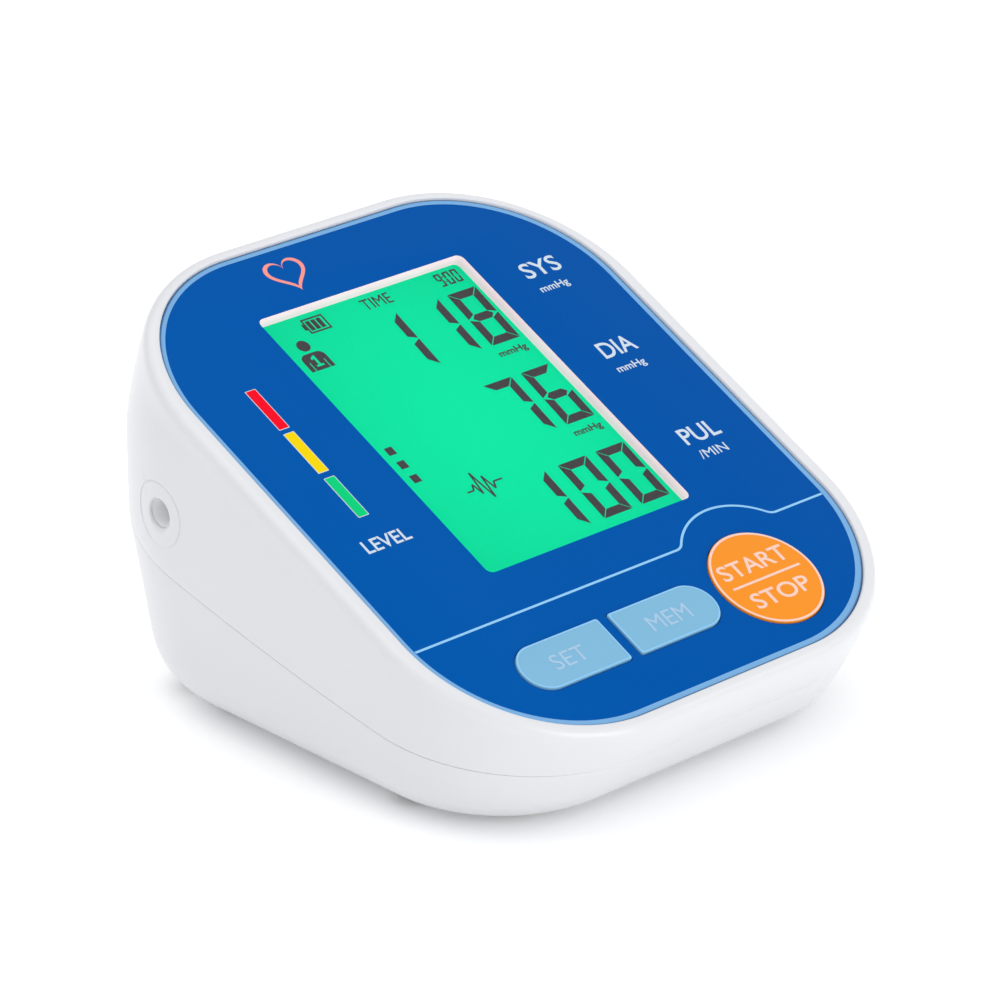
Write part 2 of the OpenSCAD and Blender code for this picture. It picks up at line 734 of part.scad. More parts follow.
// socket for the cuff's hose, seated in the left wall
module air_port() color([0.95, 0.95, 0.95])
  difference() {
    union() {
      rod_x(port_r, -side_x + 0.75, port_inner_x, port_y, port_z);
      rod_x(5, wall - side_x + 1.55, wall - side_x + 2.8, port_y, port_z);
      rod_x(barb_r, port_inner_x - 0.5, port_inner_x + 4.8, port_y, port_z);
    }
    rod_x(port_d / 2, -side_x - 1, port_inner_x - 0.8, port_y, port_z);
    rod_x(barb_bore_r, -50, -38, port_y, port_z);
  }

module port_hose() color([0.85, 0.85, 0.82, 0.8])
  straight_hose([port_inner_x + 0.05, port_y, port_z], [0, 90, 0],
                manifold_x - manifold_s / 2 - port_inner_x - 0.1);

module pump_hose() color([0.85, 0.85, 0.82, 0.8])
  straight_hose([manifold_x + manifold_s / 2 + 0.05, port_y, port_z], [0, 90, 0],
                head_x - 11.1 - manifold_x - manifold_s / 2);

valve_route = [
  [nozzle_x, valve_y, valve_z[1] - 1.15],
  [nozzle_x, valve_y, valve_z[1] + 1],
  [nozzle_x, valve_y, port_z - 8.5],
  [manifold_x, port_y, port_z - 10],
  [manifold_x, port_y, port_z - 6],
  [manifold_x, port_y, port_z - manifold_s / 2 - 0.05]
];

module valve_hose() color([0.85, 0.85, 0.82, 0.8])
  sweep_tube(route(valve_route, 8), hose_d / 2, hose_bore / 2 + 0.1, 12, [0, 1, 0]);

// from the manifold's front barb to the sensor under the board
function face_point(x, v, n) =
  [x, -key_row_y + v * cos(face_tilt) - n * sin(face_tilt), key_row_z + v * sin(face_tilt) + n * cos(face_tilt)];

sensor_end = face_point(-30.65, 40, board_low - 3);
sensor_route = [
  [manifold_x, port_y - manifold_s / 2 - 0.1, port_z],
  [manifold_x, port_y - 9, port_z],
  [manifold_x, port_y - 18, port_z],
  [sensor_end[0] - 15, sensor_end[1], sensor_end[2]],
  [sensor_end[0] - 5.5, sensor_end[1], sensor_end[2]],
  sensor_end
];

module sensor_hose() color([0.85, 0.85, 0.82, 0.8])
  sweep_tube(route(sensor_route, 14), hose_d / 2, hose_bore / 2 + 0.1, 12, [0.13, 0.31, 1]);

// ---------- power ----------

module dc_socket() color([0.12, 0.12, 0.13])
  difference() {
    union() {
      bar([36, socket_y - 4.6, socket_z - 4.6], [48.0, socket_y + 4.6, socket_z + 4.6]);
      rod_x(socket_sleeve_r, 47, socket_mouth, socket_y, socket_z);
    }
    difference() {
      rod_x(socket_r, socket_mouth - socket_depth, socket_mouth + 2, socket_y, socket_z);
      rod_x(socket_pin_r, socket_mouth - socket_depth - 0.5, socket_mouth - 1.7, socket_y, socket_z);
    }
  }

// cells lie side by side, every second one turned round
module battery_cells() color([0.75, 0.76, 0.78])
  for (i = [0:3]) let (x = (i - 1.5) * cell_pitch, up = i % 2) {
    rod_y(cell_r, x, cell_y0 + (up ? 1 : 0), cell_y0 + cell_l - (up ? 0 : 1), cell_z);
    rod_y(2.75, x, up ? cell_y0 : cell_y0 + cell_l - 1 - eps, up ? cell_y0 + 1 + eps : cell_y0 + cell_l, cell_z);
  }

module battery_springs() color("silver")
  for (i = [0, 1, 2, 3]) let (x = (i - 1.5) * cell_pitch, up = i % 2)
    sweep(up ? coil(x, cell_y0 + cell_l + 0.35, cavity_back - 0.75, cell_z, 3.4, 1, 20)
             : coil(x, cavity_front + 0.75, cell_y0 - 0.35, cell_z, 3.4, 3, 48), 0.3, 6, [0, 1, 0]);

module battery_plates() color("silver")
  for (s = [0, 1], i = [0:3]) let (x = (i - 1.5) * cell_pitch, y = s ? cavity_back - 0.4 : cavity_front + 0.05)
    bar([x - 4.5, y, cell_z - 5], [x + 4.5, y + 0.35, cell_z + 5.5]);

// a pair of wires side by side along one route
module wire_pair(p, gap, r, up) {
  for (s = [-0.5, 0.5]) sweep([for (q = route(p, 12)) q + s * gap], r, 8, up);
}

battery_wire_route = [[20, -13.8, 16], [20, -15.5, 16], [20, -21, 16], [20, -25, 12], [20, -25, 17], [20, -25, 20.8]];
module battery_wires() color("firebrick")
  wire_pair(battery_wire_route, [1.8, 0, 0], 0.6, [1, 0, 0.1]);

pump_wire_route = [[motor_x[1] + 0.1, 30, 33], [33.2, 30, 33], [37, 30, 33], [37, 22, 40], [31.5, 22, 42], [30.4, 22, 43.1]];
module pump_wires() color("black")
  wire_pair(pump_wire_route, [0, 1.1, 1.1], 0.55, [0, 1, 1]);

valve_wire_route = [[valve_x, 21.4, 14], [valve_x, 19, 14], [valve_x, 8, 14], [-31.5, -3.5, 20],
                    [-31.5, -3.5, 30.4], [-31.5, -3.5, 31.8]];
module valve_wires() color("royalblue")
  wire_pair(valve_wire_route, [1.3, 0, 0], 0.5, [1, 1, 0]);

socket_wire_route = [[35.9, 13, 30], [34, 13, 30], [30, 13, 30], [28.5, 13, 33], [28.5, 13, 37.5], [28.5, 13, 39.1]];
module socket_wires() color("black")
  wire_pair(socket_wire_route, [0, 1.6, 0], 0.55, [0, 1, 0]);

// ---------- output ----------

upper_housing();
lower_housing();
battery_door();
front_panel();
display_window();
set_button();
mem_button();
start_button();
display_glass();
display_frame();
light_guide();
backlight_leds();
display_connector();
main_board();
board_chips();
board_parts();
crystal();
capacitors();
buzzer();
switch_bodies();
set_plunger();
mem_plunger();
start_plunger();
pressure_sensor();
pump_motor();
pump_magnets();
pump_rotor();
pump_crankcase();
pump_diaphragm();
pump_cover();
pump_clamp();
pump_clamp_screws();
valve_yoke();
valve_coil();
valve_core();
valve_spring();
valve_nozzle();
air_manifold();
slow_leak_valve();
air_port();
port_hose();
pump_hose();
valve_hose();
sensor_hose();
dc_socket();
battery_cells();
battery_springs();
battery_plates();
battery_wires();
pump_wires();
valve_wires();
socket_wires();
rubber_feet();
case_screws();
board_screws();
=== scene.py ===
"""Visual model of a desktop upper arm blood pressure monitor, built round its CAD frame."""
import json
import math
import bmesh
import bpy
from mathutils import Matrix, Vector
from mathutils.bvhtree import BVHTree


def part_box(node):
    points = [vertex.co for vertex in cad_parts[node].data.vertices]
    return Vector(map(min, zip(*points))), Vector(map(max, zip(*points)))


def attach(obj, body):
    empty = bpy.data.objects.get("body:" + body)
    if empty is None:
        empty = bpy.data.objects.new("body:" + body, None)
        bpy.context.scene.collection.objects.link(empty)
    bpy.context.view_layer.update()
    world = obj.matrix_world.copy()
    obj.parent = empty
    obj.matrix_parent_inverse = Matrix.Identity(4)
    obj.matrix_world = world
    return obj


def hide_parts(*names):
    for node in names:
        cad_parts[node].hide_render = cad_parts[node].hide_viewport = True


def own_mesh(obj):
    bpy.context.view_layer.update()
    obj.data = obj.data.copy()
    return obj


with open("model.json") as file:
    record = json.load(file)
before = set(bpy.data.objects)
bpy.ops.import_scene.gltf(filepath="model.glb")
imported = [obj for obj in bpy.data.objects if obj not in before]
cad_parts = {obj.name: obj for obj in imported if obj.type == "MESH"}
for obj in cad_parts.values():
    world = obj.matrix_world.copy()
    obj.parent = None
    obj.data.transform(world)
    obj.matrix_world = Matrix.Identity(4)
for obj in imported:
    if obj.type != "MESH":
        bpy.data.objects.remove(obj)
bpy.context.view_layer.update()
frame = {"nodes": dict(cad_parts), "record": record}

# ---------- driving dimensions, in millimetres ----------

MM = 0.001
TILT = math.radians(26)
KEY_ROW = Vector((0, -37.6, 26.5))      # the face's origin, on the row of keys
WALL = 2.2

RIM_W, RIM_L, RIM_R = 100.6, 116.1, 32.0
RIM_MID = 40.25
RIM_TOP = 0.6
RIM_FOOT = -4.4                          # where the rim's straight skirt ends
PANEL_W, PANEL_L, PANEL_R = 94.0, 110.6, 28.0
PANEL_MID = 40.5
PANEL_T = 1.2
DECK_LOW = -2.8

BACK_Y = 53.1
SIDE_X, LOW_X = 51.2, 48.2
LOW_BACK, LOW_FRONT = 52.9, -47.8
BACK_R, FRONT_R = 28.5, 27.0
POST_R = 27.0                            # plan radius of the upper back corners
POST_LOW, POST_HIGH = 33.5, 50.5
BASE_Z, BASE_ROUND = 1.0, 12.0
PART_R, PART_Y, PART_Z = 468.0, -106.5, 476.6
PART_GAP = 0.06
LIP = 0.1                                # rounding of both edges at the parting line
RABBET = 0.4                             # depth of the outer lip that hides the joint
RIM_CUT, RIM_RISE = 1.65, 2.3            # how far the rim's crown comes in and rises

BOX_X, BOX_FRONT, BOX_BACK = 31.6, -13.6, 46.2
BOX_LOW, BOX_MID, BOX_TOP = 1.6, 8.2, 19.6
DOOR_X, DOOR_FRONT, DOOR_TOP = 31.0, -13.0, 2.9
DOOR_GAP = 0.15
PAST_BACK = 70                           # beyond the case, for slots that run out of it

WINDOW_W, WINDOW_L, WINDOW_R = 45.5, 62.2, 1.3
WINDOW_MID = 50.9
SET_X, MEM_X, START_X = -22.5, -0.2, 22.1
KEY_L, KEY_H = 20.0, 9.2
START_R = 10.0
KEY_PROUD = 0.3
POLARISER_TOP = -2.0                     # front of the lit display, inside the window

PORT = Vector((-51.2, 28.3, 38.7))
SOCKET = Vector((51.2, 15.0, 32.5))
UP, LEFT, RIGHT = Vector((0, 0, 1)), Vector((-1, 0, 0)), Vector((1, 0, 0))

FACE = Matrix.Translation(KEY_ROW * MM) @ Matrix.Rotation(TILT, 4, "X") @ Matrix.Scale(MM, 4)
WORLD = Matrix.Scale(MM, 4)

CORNER_STEPS, SHORT_STEPS, LONG_STEPS = 30, 10, 14
SIDE_STEPS, ROLL_STEPS = 12, 22

# ---------- materials ----------


def srgb(red, green, blue):
    """Linear colour from display values of 0 to 255."""
    out = []
    for c in (red, green, blue):
        c = c / 255
        out.append(c / 12.92 if c <= 0.04045 else ((c + 0.055) / 1.055) ** 2.4)
    return (*out, 1.0)


def shade(colour, k):
    return (*(min(1.0, c * k) for c in colour[:3]), 1.0)


class Shader:
    """A node material with short calls for what is used here."""

    def __init__(self, name):
        self.material = bpy.data.materials.new(name)
        self.material.use_nodes = True
        self.tree = self.material.node_tree
        self.bsdf = self.tree.nodes["Principled BSDF"]
        self.coords = self.tree.nodes.new("ShaderNodeTexCoord").outputs["Object"]

    def node(self, kind, **inputs):
        n = self.tree.nodes.new("ShaderNode" + kind)
        for key, value in inputs.items():
            self.put(n.inputs[key.replace("_", " ")], value)
        return n

    def put(self, socket, value):
        if isinstance(value, bpy.types.NodeSocket):
            self.tree.links.new(value, socket)
        else:
            socket.default_value = value

    def noise(self, scale, detail=3.0, stretch=(1, 1, 1)):
        spread = self.node("Mapping", Vector=self.coords, Scale=stretch)
        made = self.node("TexNoise", Vector=spread.outputs[0], Scale=scale, Detail=detail)
        return made.outputs["Fac"]

    def remap(self, value, low, high, to_low, to_high):
        span = {"From_Min": low, "From_Max": high, "To_Min": to_low, "To_Max": to_high}
        return self.node("MapRange", Value=value, **span).outputs[0]

    def mix(self, factor, a, b):
        n = self.tree.nodes.new("ShaderNodeMix")
        n.data_type = "RGBA"
        self.put(n.inputs["Factor"], factor)
        self.put(n.inputs[6], a)
        self.put(n.inputs[7], b)
        return n.outputs[2]

    def math(self, operation, a, b):
        n = self.tree.nodes.new("ShaderNodeMath")
        n.operation = operation
        self.put(n.inputs[0], a)
        self.put(n.inputs[1], b)
        return n.outputs[0]

    def bump(self, height, depth_mm, before=None):
        n = self.node("Bump", Height=height, Strength=1.0, Distance=depth_mm * MM)
        if before is not None:
            self.put(n.inputs["Normal"], before)
        return n.outputs[0]

    def set(self, **inputs):
        for key, value in inputs.items():
            self.put(self.bsdf.inputs[key.replace("_", " ")], value)
        return self


def worn_colour(s, colour, worn, amount):
    """Base colour with a soft cloud, and a duller tone where edges stand out."""
    base = s.mix(s.noise(40, 1), shade(colour, 0.985), shade(colour, 1.012))
    edge = s.tree.nodes.new("ShaderNodeNewGeometry").outputs["Pointiness"]
    mask = s.remap(edge, 0.55, 0.7, 0.0, amount)
    broken = s.math("MULTIPLY", mask, s.remap(s.noise(900), 0.45, 0.6, 0.0, 1.0))
    return s.mix(broken, base, worn)


def moulded(name, colour, rough, grain, grain_scale, coat=0.0, worn=None, specular=0.5):
    """Moulded plastic: fine spark grain, slow sink waves, and patches handled to another gloss.

    Its roughness stays over 0.28. Cycles leaves smoother surfaces out of the denoiser's colour
    guide, so a value that crosses that level draws the patches' outlines on the case.
    """
    s = Shader(name)
    s.set(Base_Color=worn_colour(s, colour, worn or shade(colour, 0.9), 0.35))
    handled = s.remap(s.noise(38, 2), 0.0, 1.0, rough * 0.88, rough * 1.12)
    s.set(Roughness=handled, Specular_IOR_Level=specular)
    s.set(Coat_Weight=coat, Coat_Roughness=0.08)
    waves = s.bump(s.noise(17, 0), 0.008)
    s.set(Normal=s.bump(s.noise(grain_scale, 2), grain, waves))
    return s.material


def printed(name, colour, rough=0.32):
    """Ink on the panel: even, slightly rougher than the film round it, with a fine stipple."""
    s = Shader(name)
    s.set(Base_Color=worn_colour(s, colour, shade(colour, 0.85), 0.25))
    s.set(Roughness=s.remap(s.noise(1500), 0.3, 0.7, rough * 0.9, rough * 1.2))
    s.set(Specular_IOR_Level=0.05)
    s.set(Normal=s.bump(s.noise(5200, 2), 0.0015))
    return s.material


def panel_film(name):
    """Glossy blue film, painted lighter towards its left side as a painted sheen, with a soft cloud and
    hairline wipe marks.
    """
    s = Shader(name)
    deep = srgb(0, 74, 150)
    light = srgb(0, 80, 156)
    # painted sheen: the colour runs from the deeper blue on the right to the lighter blue on the left,
    # broken by a soft cloud
    slope = s.node("SeparateXYZ", Vector=s.coords).outputs["X"]
    across = s.remap(slope, -0.05, 0.05, 1.0, 0.0)
    cloud = s.math("MULTIPLY", across, s.remap(s.noise(25), 0.2, 0.8, 0.6, 1.0))
    s.set(Base_Color=s.mix(cloud, deep, light))
    wipes = s.noise(240, 6, (1, 14, 1))
    s.set(Roughness=s.remap(wipes, 0.4, 0.7, 0.16, 0.24), Specular_IOR_Level=0.02)
    s.set(Normal=s.bump(s.noise(35, 0), 0.006))
    return s.material


def clear_window(name):
    """Thin hard window: mostly see-through, with a Fresnel gloss and faint smudges."""
    s = Shader(name)
    s.set(Base_Color=srgb(24, 40, 44), Specular_IOR_Level=0.5, IOR=1.45)
    s.set(Roughness=s.remap(s.noise(70, 4), 0.4, 0.7, 0.04, 0.12))
    s.set(Normal=s.bump(s.noise(30, 1), 0.006), Alpha=0.03)
    return s.material


def lit_display(name):
    """Backlit cell: green, a little brighter in the middle, with the weave of its polariser."""
    s = Shader(name)
    place = s.node("SeparateXYZ", Vector=s.coords)
    x = s.math("DIVIDE", place.outputs["X"], 0.024)
    along = s.math("SUBTRACT", place.outputs["Y"], 0.0075)
    y = s.math("DIVIDE", along, 0.03)
    radius = s.math("ADD", s.math("MULTIPLY", x, x), s.math("MULTIPLY", y, y))
    glow = s.remap(radius, 0.0, 1.9, 0.0, 1.0)
    speckle = s.remap(s.noise(1800, 2), 0.3, 0.7, 0.97, 1.02)
    colour = s.mix(glow, srgb(0, 222, 158), srgb(0, 202, 141))
    s.set(Base_Color=shade(srgb(0, 150, 105), 0.35), Emission_Color=colour)
    s.set(Emission_Strength=speckle)
    s.set(Roughness=s.remap(s.noise(300), 0.3, 0.7, 0.35, 0.45), Specular_IOR_Level=0.03)
    s.set(Normal=s.bump(s.noise(3000, 2), 0.001))
    return s.material


def metal(name, colour, rough, stretch, depth=0.003):
    """Drawn or turned metal with lines along one axis and tarnished patches."""
    s = Shader(name)
    lines = s.noise(1400, 4, stretch)
    patches = s.remap(s.noise(90, 4), 0.35, 0.65, 0.0, 1.0)
    s.set(Base_Color=s.mix(patches, shade(colour, 0.82), colour), Metallic=1.0)
    s.set(Roughness=s.remap(lines, 0.3, 0.7, rough * 0.7, rough * 1.3))
    s.set(Normal=s.bump(lines, depth))
    return s.material


def rubber(name, colour, clear=0.0):
    s = Shader(name)
    s.set(Base_Color=worn_colour(s, colour, shade(colour, 1.3), 0.3), Specular_IOR_Level=0.35)
    s.set(Roughness=s.remap(s.noise(400, 4), 0.3, 0.7, 0.5 - clear, 0.75 - clear))
    s.set(Normal=s.bump(s.noise(2400, 3), 0.01), Subsurface_Weight=clear, Subsurface_Scale=0.002)
    return s.material


def circuit_board(name):
    """Solder mask over copper tracks."""
    s = Shader(name)
    tracks = s.node("TexBrick", Vector=s.coords, Scale=260.0, Mortar_Size=0.035, Mortar_Smooth=0.1)
    s.put(tracks.inputs["Color1"], srgb(6, 84, 44))
    s.put(tracks.inputs["Color2"], srgb(8, 96, 50))
    s.put(tracks.inputs["Mortar"], srgb(30, 138, 74))
    haze = s.remap(s.noise(150), 0.3, 0.7, 0, 0.3)
    s.set(Base_Color=s.mix(haze, tracks.outputs[0], srgb(4, 64, 34)))
    s.set(Roughness=s.remap(s.noise(500), 0.3, 0.7, 0.25, 0.45))
    s.set(Normal=s.bump(tracks.outputs["Fac"], 0.03))
    return s.material


def wound_copper(name):
    """Enamelled wire in tight turns, with painted shade in the grooves and a painted highlight on each
    turn's crest.
    """
    s = Shader(name)
    turns = s.node("TexWave", Vector=s.coords, Scale=900.0, Distortion=0.4, Detail=1.0)
    s.put(turns.inputs["Detail Scale"], 2.0)
    # painted shade and highlight: the colour follows the turns' bump, dark copper in the grooves and
    # bright copper on the crests
    s.set(Base_Color=s.mix(turns.outputs["Fac"], srgb(96, 42, 18), srgb(206, 118, 60)), Metallic=0.85)
    s.set(Roughness=s.remap(s.noise(400), 0.3, 0.7, 0.25, 0.4))
    s.set(Normal=s.bump(turns.outputs["Fac"], 0.12))
    return s.material


def cell_jacket(name):
    """Printed jacket of a dry cell: dark body, bright band near one end, scuffed."""
    s = Shader(name)
    along = s.node("SeparateXYZ", Vector=s.coords).outputs["Y"]
    band = s.math("GREATER_THAN", along, 0.031)
    scuffs = s.remap(s.noise(500, 5), 0.55, 0.75, 0.0, 0.5)
    body = s.mix(band, srgb(44, 48, 56), srgb(196, 148, 74))
    s.set(Base_Color=s.mix(scuffs, body, srgb(150, 150, 152)), Metallic=0.55)
    s.set(Roughness=s.remap(s.noise(260, 4), 0.3, 0.7, 0.25, 0.45))
    s.set(Normal=s.bump(s.noise(700, 3), 0.01))
    return s.material


def window_wall(name):
    """White plastic round the display, a shade warm, with a painted glow: a faint pinkish-white emission
    that stands for light falling on the wall.
    """
    s = Shader(name)
    s.set(Base_Color=worn_colour(s, srgb(228, 200, 208), srgb(214, 192, 198), 0.2))
    # painted glow: the wall gives off a faint pinkish-white light of its own, though it is no lamp
    glow = s.remap(s.noise(200), 0.0, 1.0, 0.24, 0.3)
    s.set(Emission_Color=srgb(255, 240, 247), Emission_Strength=glow)
    s.set(Roughness=s.remap(s.noise(600), 0.3, 0.7, 0.4, 0.5), Specular_IOR_Level=0.1)
    s.set(Normal=s.bump(s.noise(2400, 2), 0.003))
    return s.material


PRINT_WHITE = srgb(190, 203, 214)
PRINT_BLUE = srgb(133, 187, 223)

MATERIALS = {
    "case_white": moulded(
        "case_white", srgb(207, 208, 211), 0.33, 0.006, 2600, 0.3, worn=srgb(200, 200, 201)),
    "window_wall": window_wall("window_wall"),
    "panel_blue": panel_film("panel_blue"),
    "panel_edge": printed("panel_edge", srgb(111, 160, 204)),
    # painted shade: a darker blue for the shade along the panel's edge next to the rim
    "panel_edge_shade": printed("panel_edge_shade", srgb(84, 118, 152)),
    "key_light_blue": moulded("key_light_blue", srgb(115, 167, 197), 0.4, 0.003, 3400, specular=0.12),
    "key_orange": moulded("key_orange", srgb(225, 134, 30), 0.4, 0.003, 3400, specular=0.12),
    "print_pale": printed("print_pale", PRINT_WHITE),
    "print_blue": printed("print_blue", PRINT_BLUE),
    "print_sky": printed("print_sky", srgb(154, 183, 206)),
    "print_pink": printed("print_pink", srgb(226, 190, 174)),
    "print_rose": printed("print_rose", srgb(228, 140, 130)),
    "bar_red": printed("bar_red", srgb(225, 2, 30)),
    "bar_yellow": printed("bar_yellow", srgb(223, 196, 0)),
    "bar_green": printed("bar_green", srgb(0, 188, 112)),
    "clear_window": clear_window("clear_window"),
    "display_green": lit_display("display_green"),
    "segment_dark": printed("segment_dark", srgb(66, 62, 66), 0.5),
    "inner_white_plastic": moulded("inner_white_plastic", srgb(246, 246, 248), 0.42, 0.01, 1400),
    "board_green": circuit_board("board_green"),
    "black_plastic": moulded("black_plastic", srgb(30, 30, 33), 0.42, 0.01, 1600, worn=srgb(70, 70, 72)),
    "parts_tan": moulded("parts_tan", srgb(188, 164, 120), 0.5, 0.012, 1800),
    "bright_metal": metal("bright_metal", (0.66, 0.66, 0.68, 1.0), 0.28, (1, 9, 1)),
    "can_blue": metal("can_blue", srgb(56, 76, 140), 0.35, (1, 1, 6)),
    "cell_jacket": cell_jacket("cell_jacket"),
    "dark_metal": metal("dark_metal", (0.1, 0.1, 0.11, 1.0), 0.5, (1, 2, 1), 0.01),
    "copper_winding": wound_copper("copper_winding"),
    "dark_rubber": rubber("dark_rubber", srgb(44, 44, 47)),
    "silicone_hose": rubber("silicone_hose", srgb(206, 206, 198), 0.25),
    "wire_red": rubber("wire_red", srgb(176, 24, 20)),
    "wire_black": rubber("wire_black", srgb(28, 28, 30)),
}

# ---------- mesh helpers ----------


def soften(mesh, smooth=40):
    """Smooth shading, but for sharp edges and for wide flat faces."""
    for p in mesh.polygons:
        p.use_smooth = p.area < 6e-5
    mesh.set_sharp_from_angle(angle=math.radians(smooth))


def finish_mesh(name, mesh, material, body, smooth=40):
    """Object from a mesh in metres, riding on a body."""
    soften(mesh, smooth)
    obj = bpy.data.objects.new(name, mesh)
    bpy.context.scene.collection.objects.link(obj)
    if material:
        mesh.materials.clear()
        mesh.materials.append(MATERIALS[material])
    if body:
        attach(obj, body)
    return obj


def mesh_from(points, faces, matrix):
    """Mesh from millimetre points in a given frame, with its faces turned outwards."""
    bm = bmesh.new()
    verts = [bm.verts.new(matrix @ Vector(p)) for p in points]
    for f in faces:
        bm.faces.new([verts[i] for i in f])
    bmesh.ops.remove_doubles(bm, verts=bm.verts, dist=1e-7)
    bmesh.ops.recalc_face_normals(bm, faces=bm.faces)
    mesh = bpy.data.meshes.new("shape")
    bm.to_mesh(mesh)
    bm.free()
    return mesh


def loft(rings, first_cap=True, last_cap=True):
    """Points and faces of a closed skin through rings with the same number of points."""
    n = len(rings[0])
    points = [p for ring in rings for p in ring]
    faces = []
    for r in range(len(rings) - 1):
        for k in range(n):
            a, b = r * n + k, r * n + (k + 1) % n
            faces.append((a, b, b + n, a + n))
    if first_cap:
        faces.append(tuple(range(n)))
    if last_cap:
        last = (len(rings) - 1) * n
        faces.append(tuple(last + k for k in range(n)))
    return points, faces


def prisms(outlines, low, high):
    """Flat shapes given by closed outlines, made solid between two levels."""
    shapes = []
    for shape in outlines:
        shapes.append(loft([[(x, y, level) for x, y in shape] for level in (low, high)]))
    return joined(shapes)


def ring_band(outer, inner, low, high):
    """Points and faces of a flat ring between two outlines with the same number of points."""
    rings = [
        [(x, y, low) for x, y in outer],
        [(x, y, high) for x, y in outer],
        [(x, y, high) for x, y in inner],
        [(x, y, low) for x, y in inner],
        [(x, y, low) for x, y in outer],
    ]
    return loft(rings, False, False)


def arc(cx, cy, r, start, end, steps):
    """Points on an arc, in degrees."""
    out = []
    for i in range(steps + 1):
        a = math.radians(start + (end - start) * i / steps)
        out.append((cx + r * math.cos(a), cy + r * math.sin(a)))
    return out


def circle(cx, cy, r, steps=72):
    return arc(cx, cy, r, 0, 360, steps)[:-1]


def rectangle(x0, y0, x1, y1):
    return [(x0, y0), (x1, y0), (x1, y1), (x0, y1)]


def rounded_rectangle(cx, cy, w, h, r, steps=8):
    out = []
    for i, (sx, sy) in enumerate(((1, 1), (-1, 1), (-1, -1), (1, -1))):
        out += arc(cx + sx * (w / 2 - r), cy + sy * (h / 2 - r), r, i * 90, i * 90 + 90, steps)
    return out


def stroke(path, width):
    """Closed outline of a line of even width along an open path."""
    left, right = [], []
    for i, p in enumerate(path):
        here = Vector(p)
        before = Vector(path[max(i - 1, 0)])
        after = Vector(path[min(i + 1, len(path) - 1)])
        ahead = (after - before).normalized()
        side = Vector((-ahead.y, ahead.x)) * width / 2
        left.append(tuple(here + side))
        right.append(tuple(here - side))
    return right + left[::-1]


def on_face(name, shape, material, body="case"):
    """Piece from points in face millimetres: x, up the slope, out of the face."""
    return finish_mesh(name, mesh_from(*shape, FACE), material, body)


def in_world(name, shape, material, body="case"):
    return finish_mesh(name, mesh_from(*shape, WORLD), material, body)


def joined(shapes):
    """Several (points, faces) as one."""
    points, faces = [], []
    for more, sides in shapes:
        at = len(points)
        points += more
        faces += [tuple(i + at for i in f) for f in sides]
    return points, faces


def boolean(target, cutters, operation="DIFFERENCE"):
    """Applies exact booleans, then removes the cutters."""
    for cutter in cutters:
        mod = target.modifiers.new("cut", "BOOLEAN")
        mod.operation = operation
        mod.solver = "EXACT"
        mod.object = cutter
    bpy.context.view_layer.update()
    graph = bpy.context.evaluated_depsgraph_get()
    mesh = bpy.data.meshes.new_from_object(target.evaluated_get(graph))
    target.modifiers.clear()
    soften(mesh)
    target.data = mesh
    for cutter in cutters:
        bpy.data.objects.remove(cutter)


def tool(shape, matrix=WORLD):
    """A cutter for boolean()."""
    obj = bpy.data.objects.new("tool", mesh_from(*shape, matrix))
    bpy.context.scene.collection.objects.link(obj)
    return obj


def box_shape(low, high):
    return prisms([rectangle(low[0], low[1], high[0], high[1])], low[2], high[2])


def lathe(profile, origin, axis, steps=64, caps=True):
    """Points and faces turned round an axis: profile is (distance along, radius)."""
    turn = axis.to_track_quat("Z", "Y")
    rings = []
    for along, radius in profile:
        flat = [Vector((x, y, along)) for x, y in circle(0, 0, radius, steps)]
        rings.append([tuple(origin + turn @ p) for p in flat])
    return loft(rings, caps, caps)


# ---------- the case's outer form ----------


def face_to_world(x, v, n):
    c, s = math.cos(TILT), math.sin(TILT)
    return Vector((x, KEY_ROW.y + v * c - n * s, KEY_ROW.z + v * s + n * c))


def outline(corners):
    """Points and outward normals round four corner circles, right back first, with set spacing."""
    out = []
    straights = (SHORT_STEPS, LONG_STEPS, SHORT_STEPS, LONG_STEPS)
    for i, (cx, cy, r) in enumerate(corners):
        for k in range(CORNER_STEPS + 1):
            a = math.radians(90 * i + 90 * k / CORNER_STEPS)
            out.append((Vector((cx + r * math.cos(a), cy + r * math.sin(a))), a))
        nx, ny, nr = corners[(i + 1) % 4]
        a = math.radians(90 * (i + 1))
        start = out[-1][0]
        end = Vector((nx + nr * math.cos(a), ny + nr * math.sin(a)))
        for k in range(1, straights[i]):
            out.append((start.lerp(end, k / straights[i]), a))
    return [(p, Vector((math.cos(a), math.sin(a)))) for p, a in out]


def box_corners(w, l, r, mid):
    """Corner circles of a rounded rectangle, in outline() order."""
    x, y = w / 2 - r, l / 2 - r
    return [(x, mid + y, r), (-x, mid + y, r), (-x, mid - y, r), (x, mid - y, r)]


def rim_outline(cut):
    return outline(box_corners(RIM_W - 2 * cut, RIM_L - 2 * cut, RIM_R - cut, RIM_MID))


def panel_outline(grow):
    return outline(box_corners(PANEL_W + 2 * grow, PANEL_L + 2 * grow, PANEL_R + grow, PANEL_MID))


BASE_CORNERS = [
    (LOW_X - BACK_R, LOW_BACK - BACK_R, BACK_R),
    (BACK_R - LOW_X, LOW_BACK - BACK_R, BACK_R),
    (FRONT_R - LOW_X, LOW_FRONT + FRONT_R, FRONT_R),
    (LOW_X - FRONT_R, LOW_FRONT + FRONT_R, FRONT_R),
]


def rim_points():
    """Points of the rim's skirt, all round."""
    out = []
    for cut, n in ((0, RIM_FOOT), (0, -1.1), (0.5, -0.2), (1.7, RIM_TOP)):
        out += [face_to_world(p.x, p.y, n) for p, _ in rim_outline(cut)]
    return out


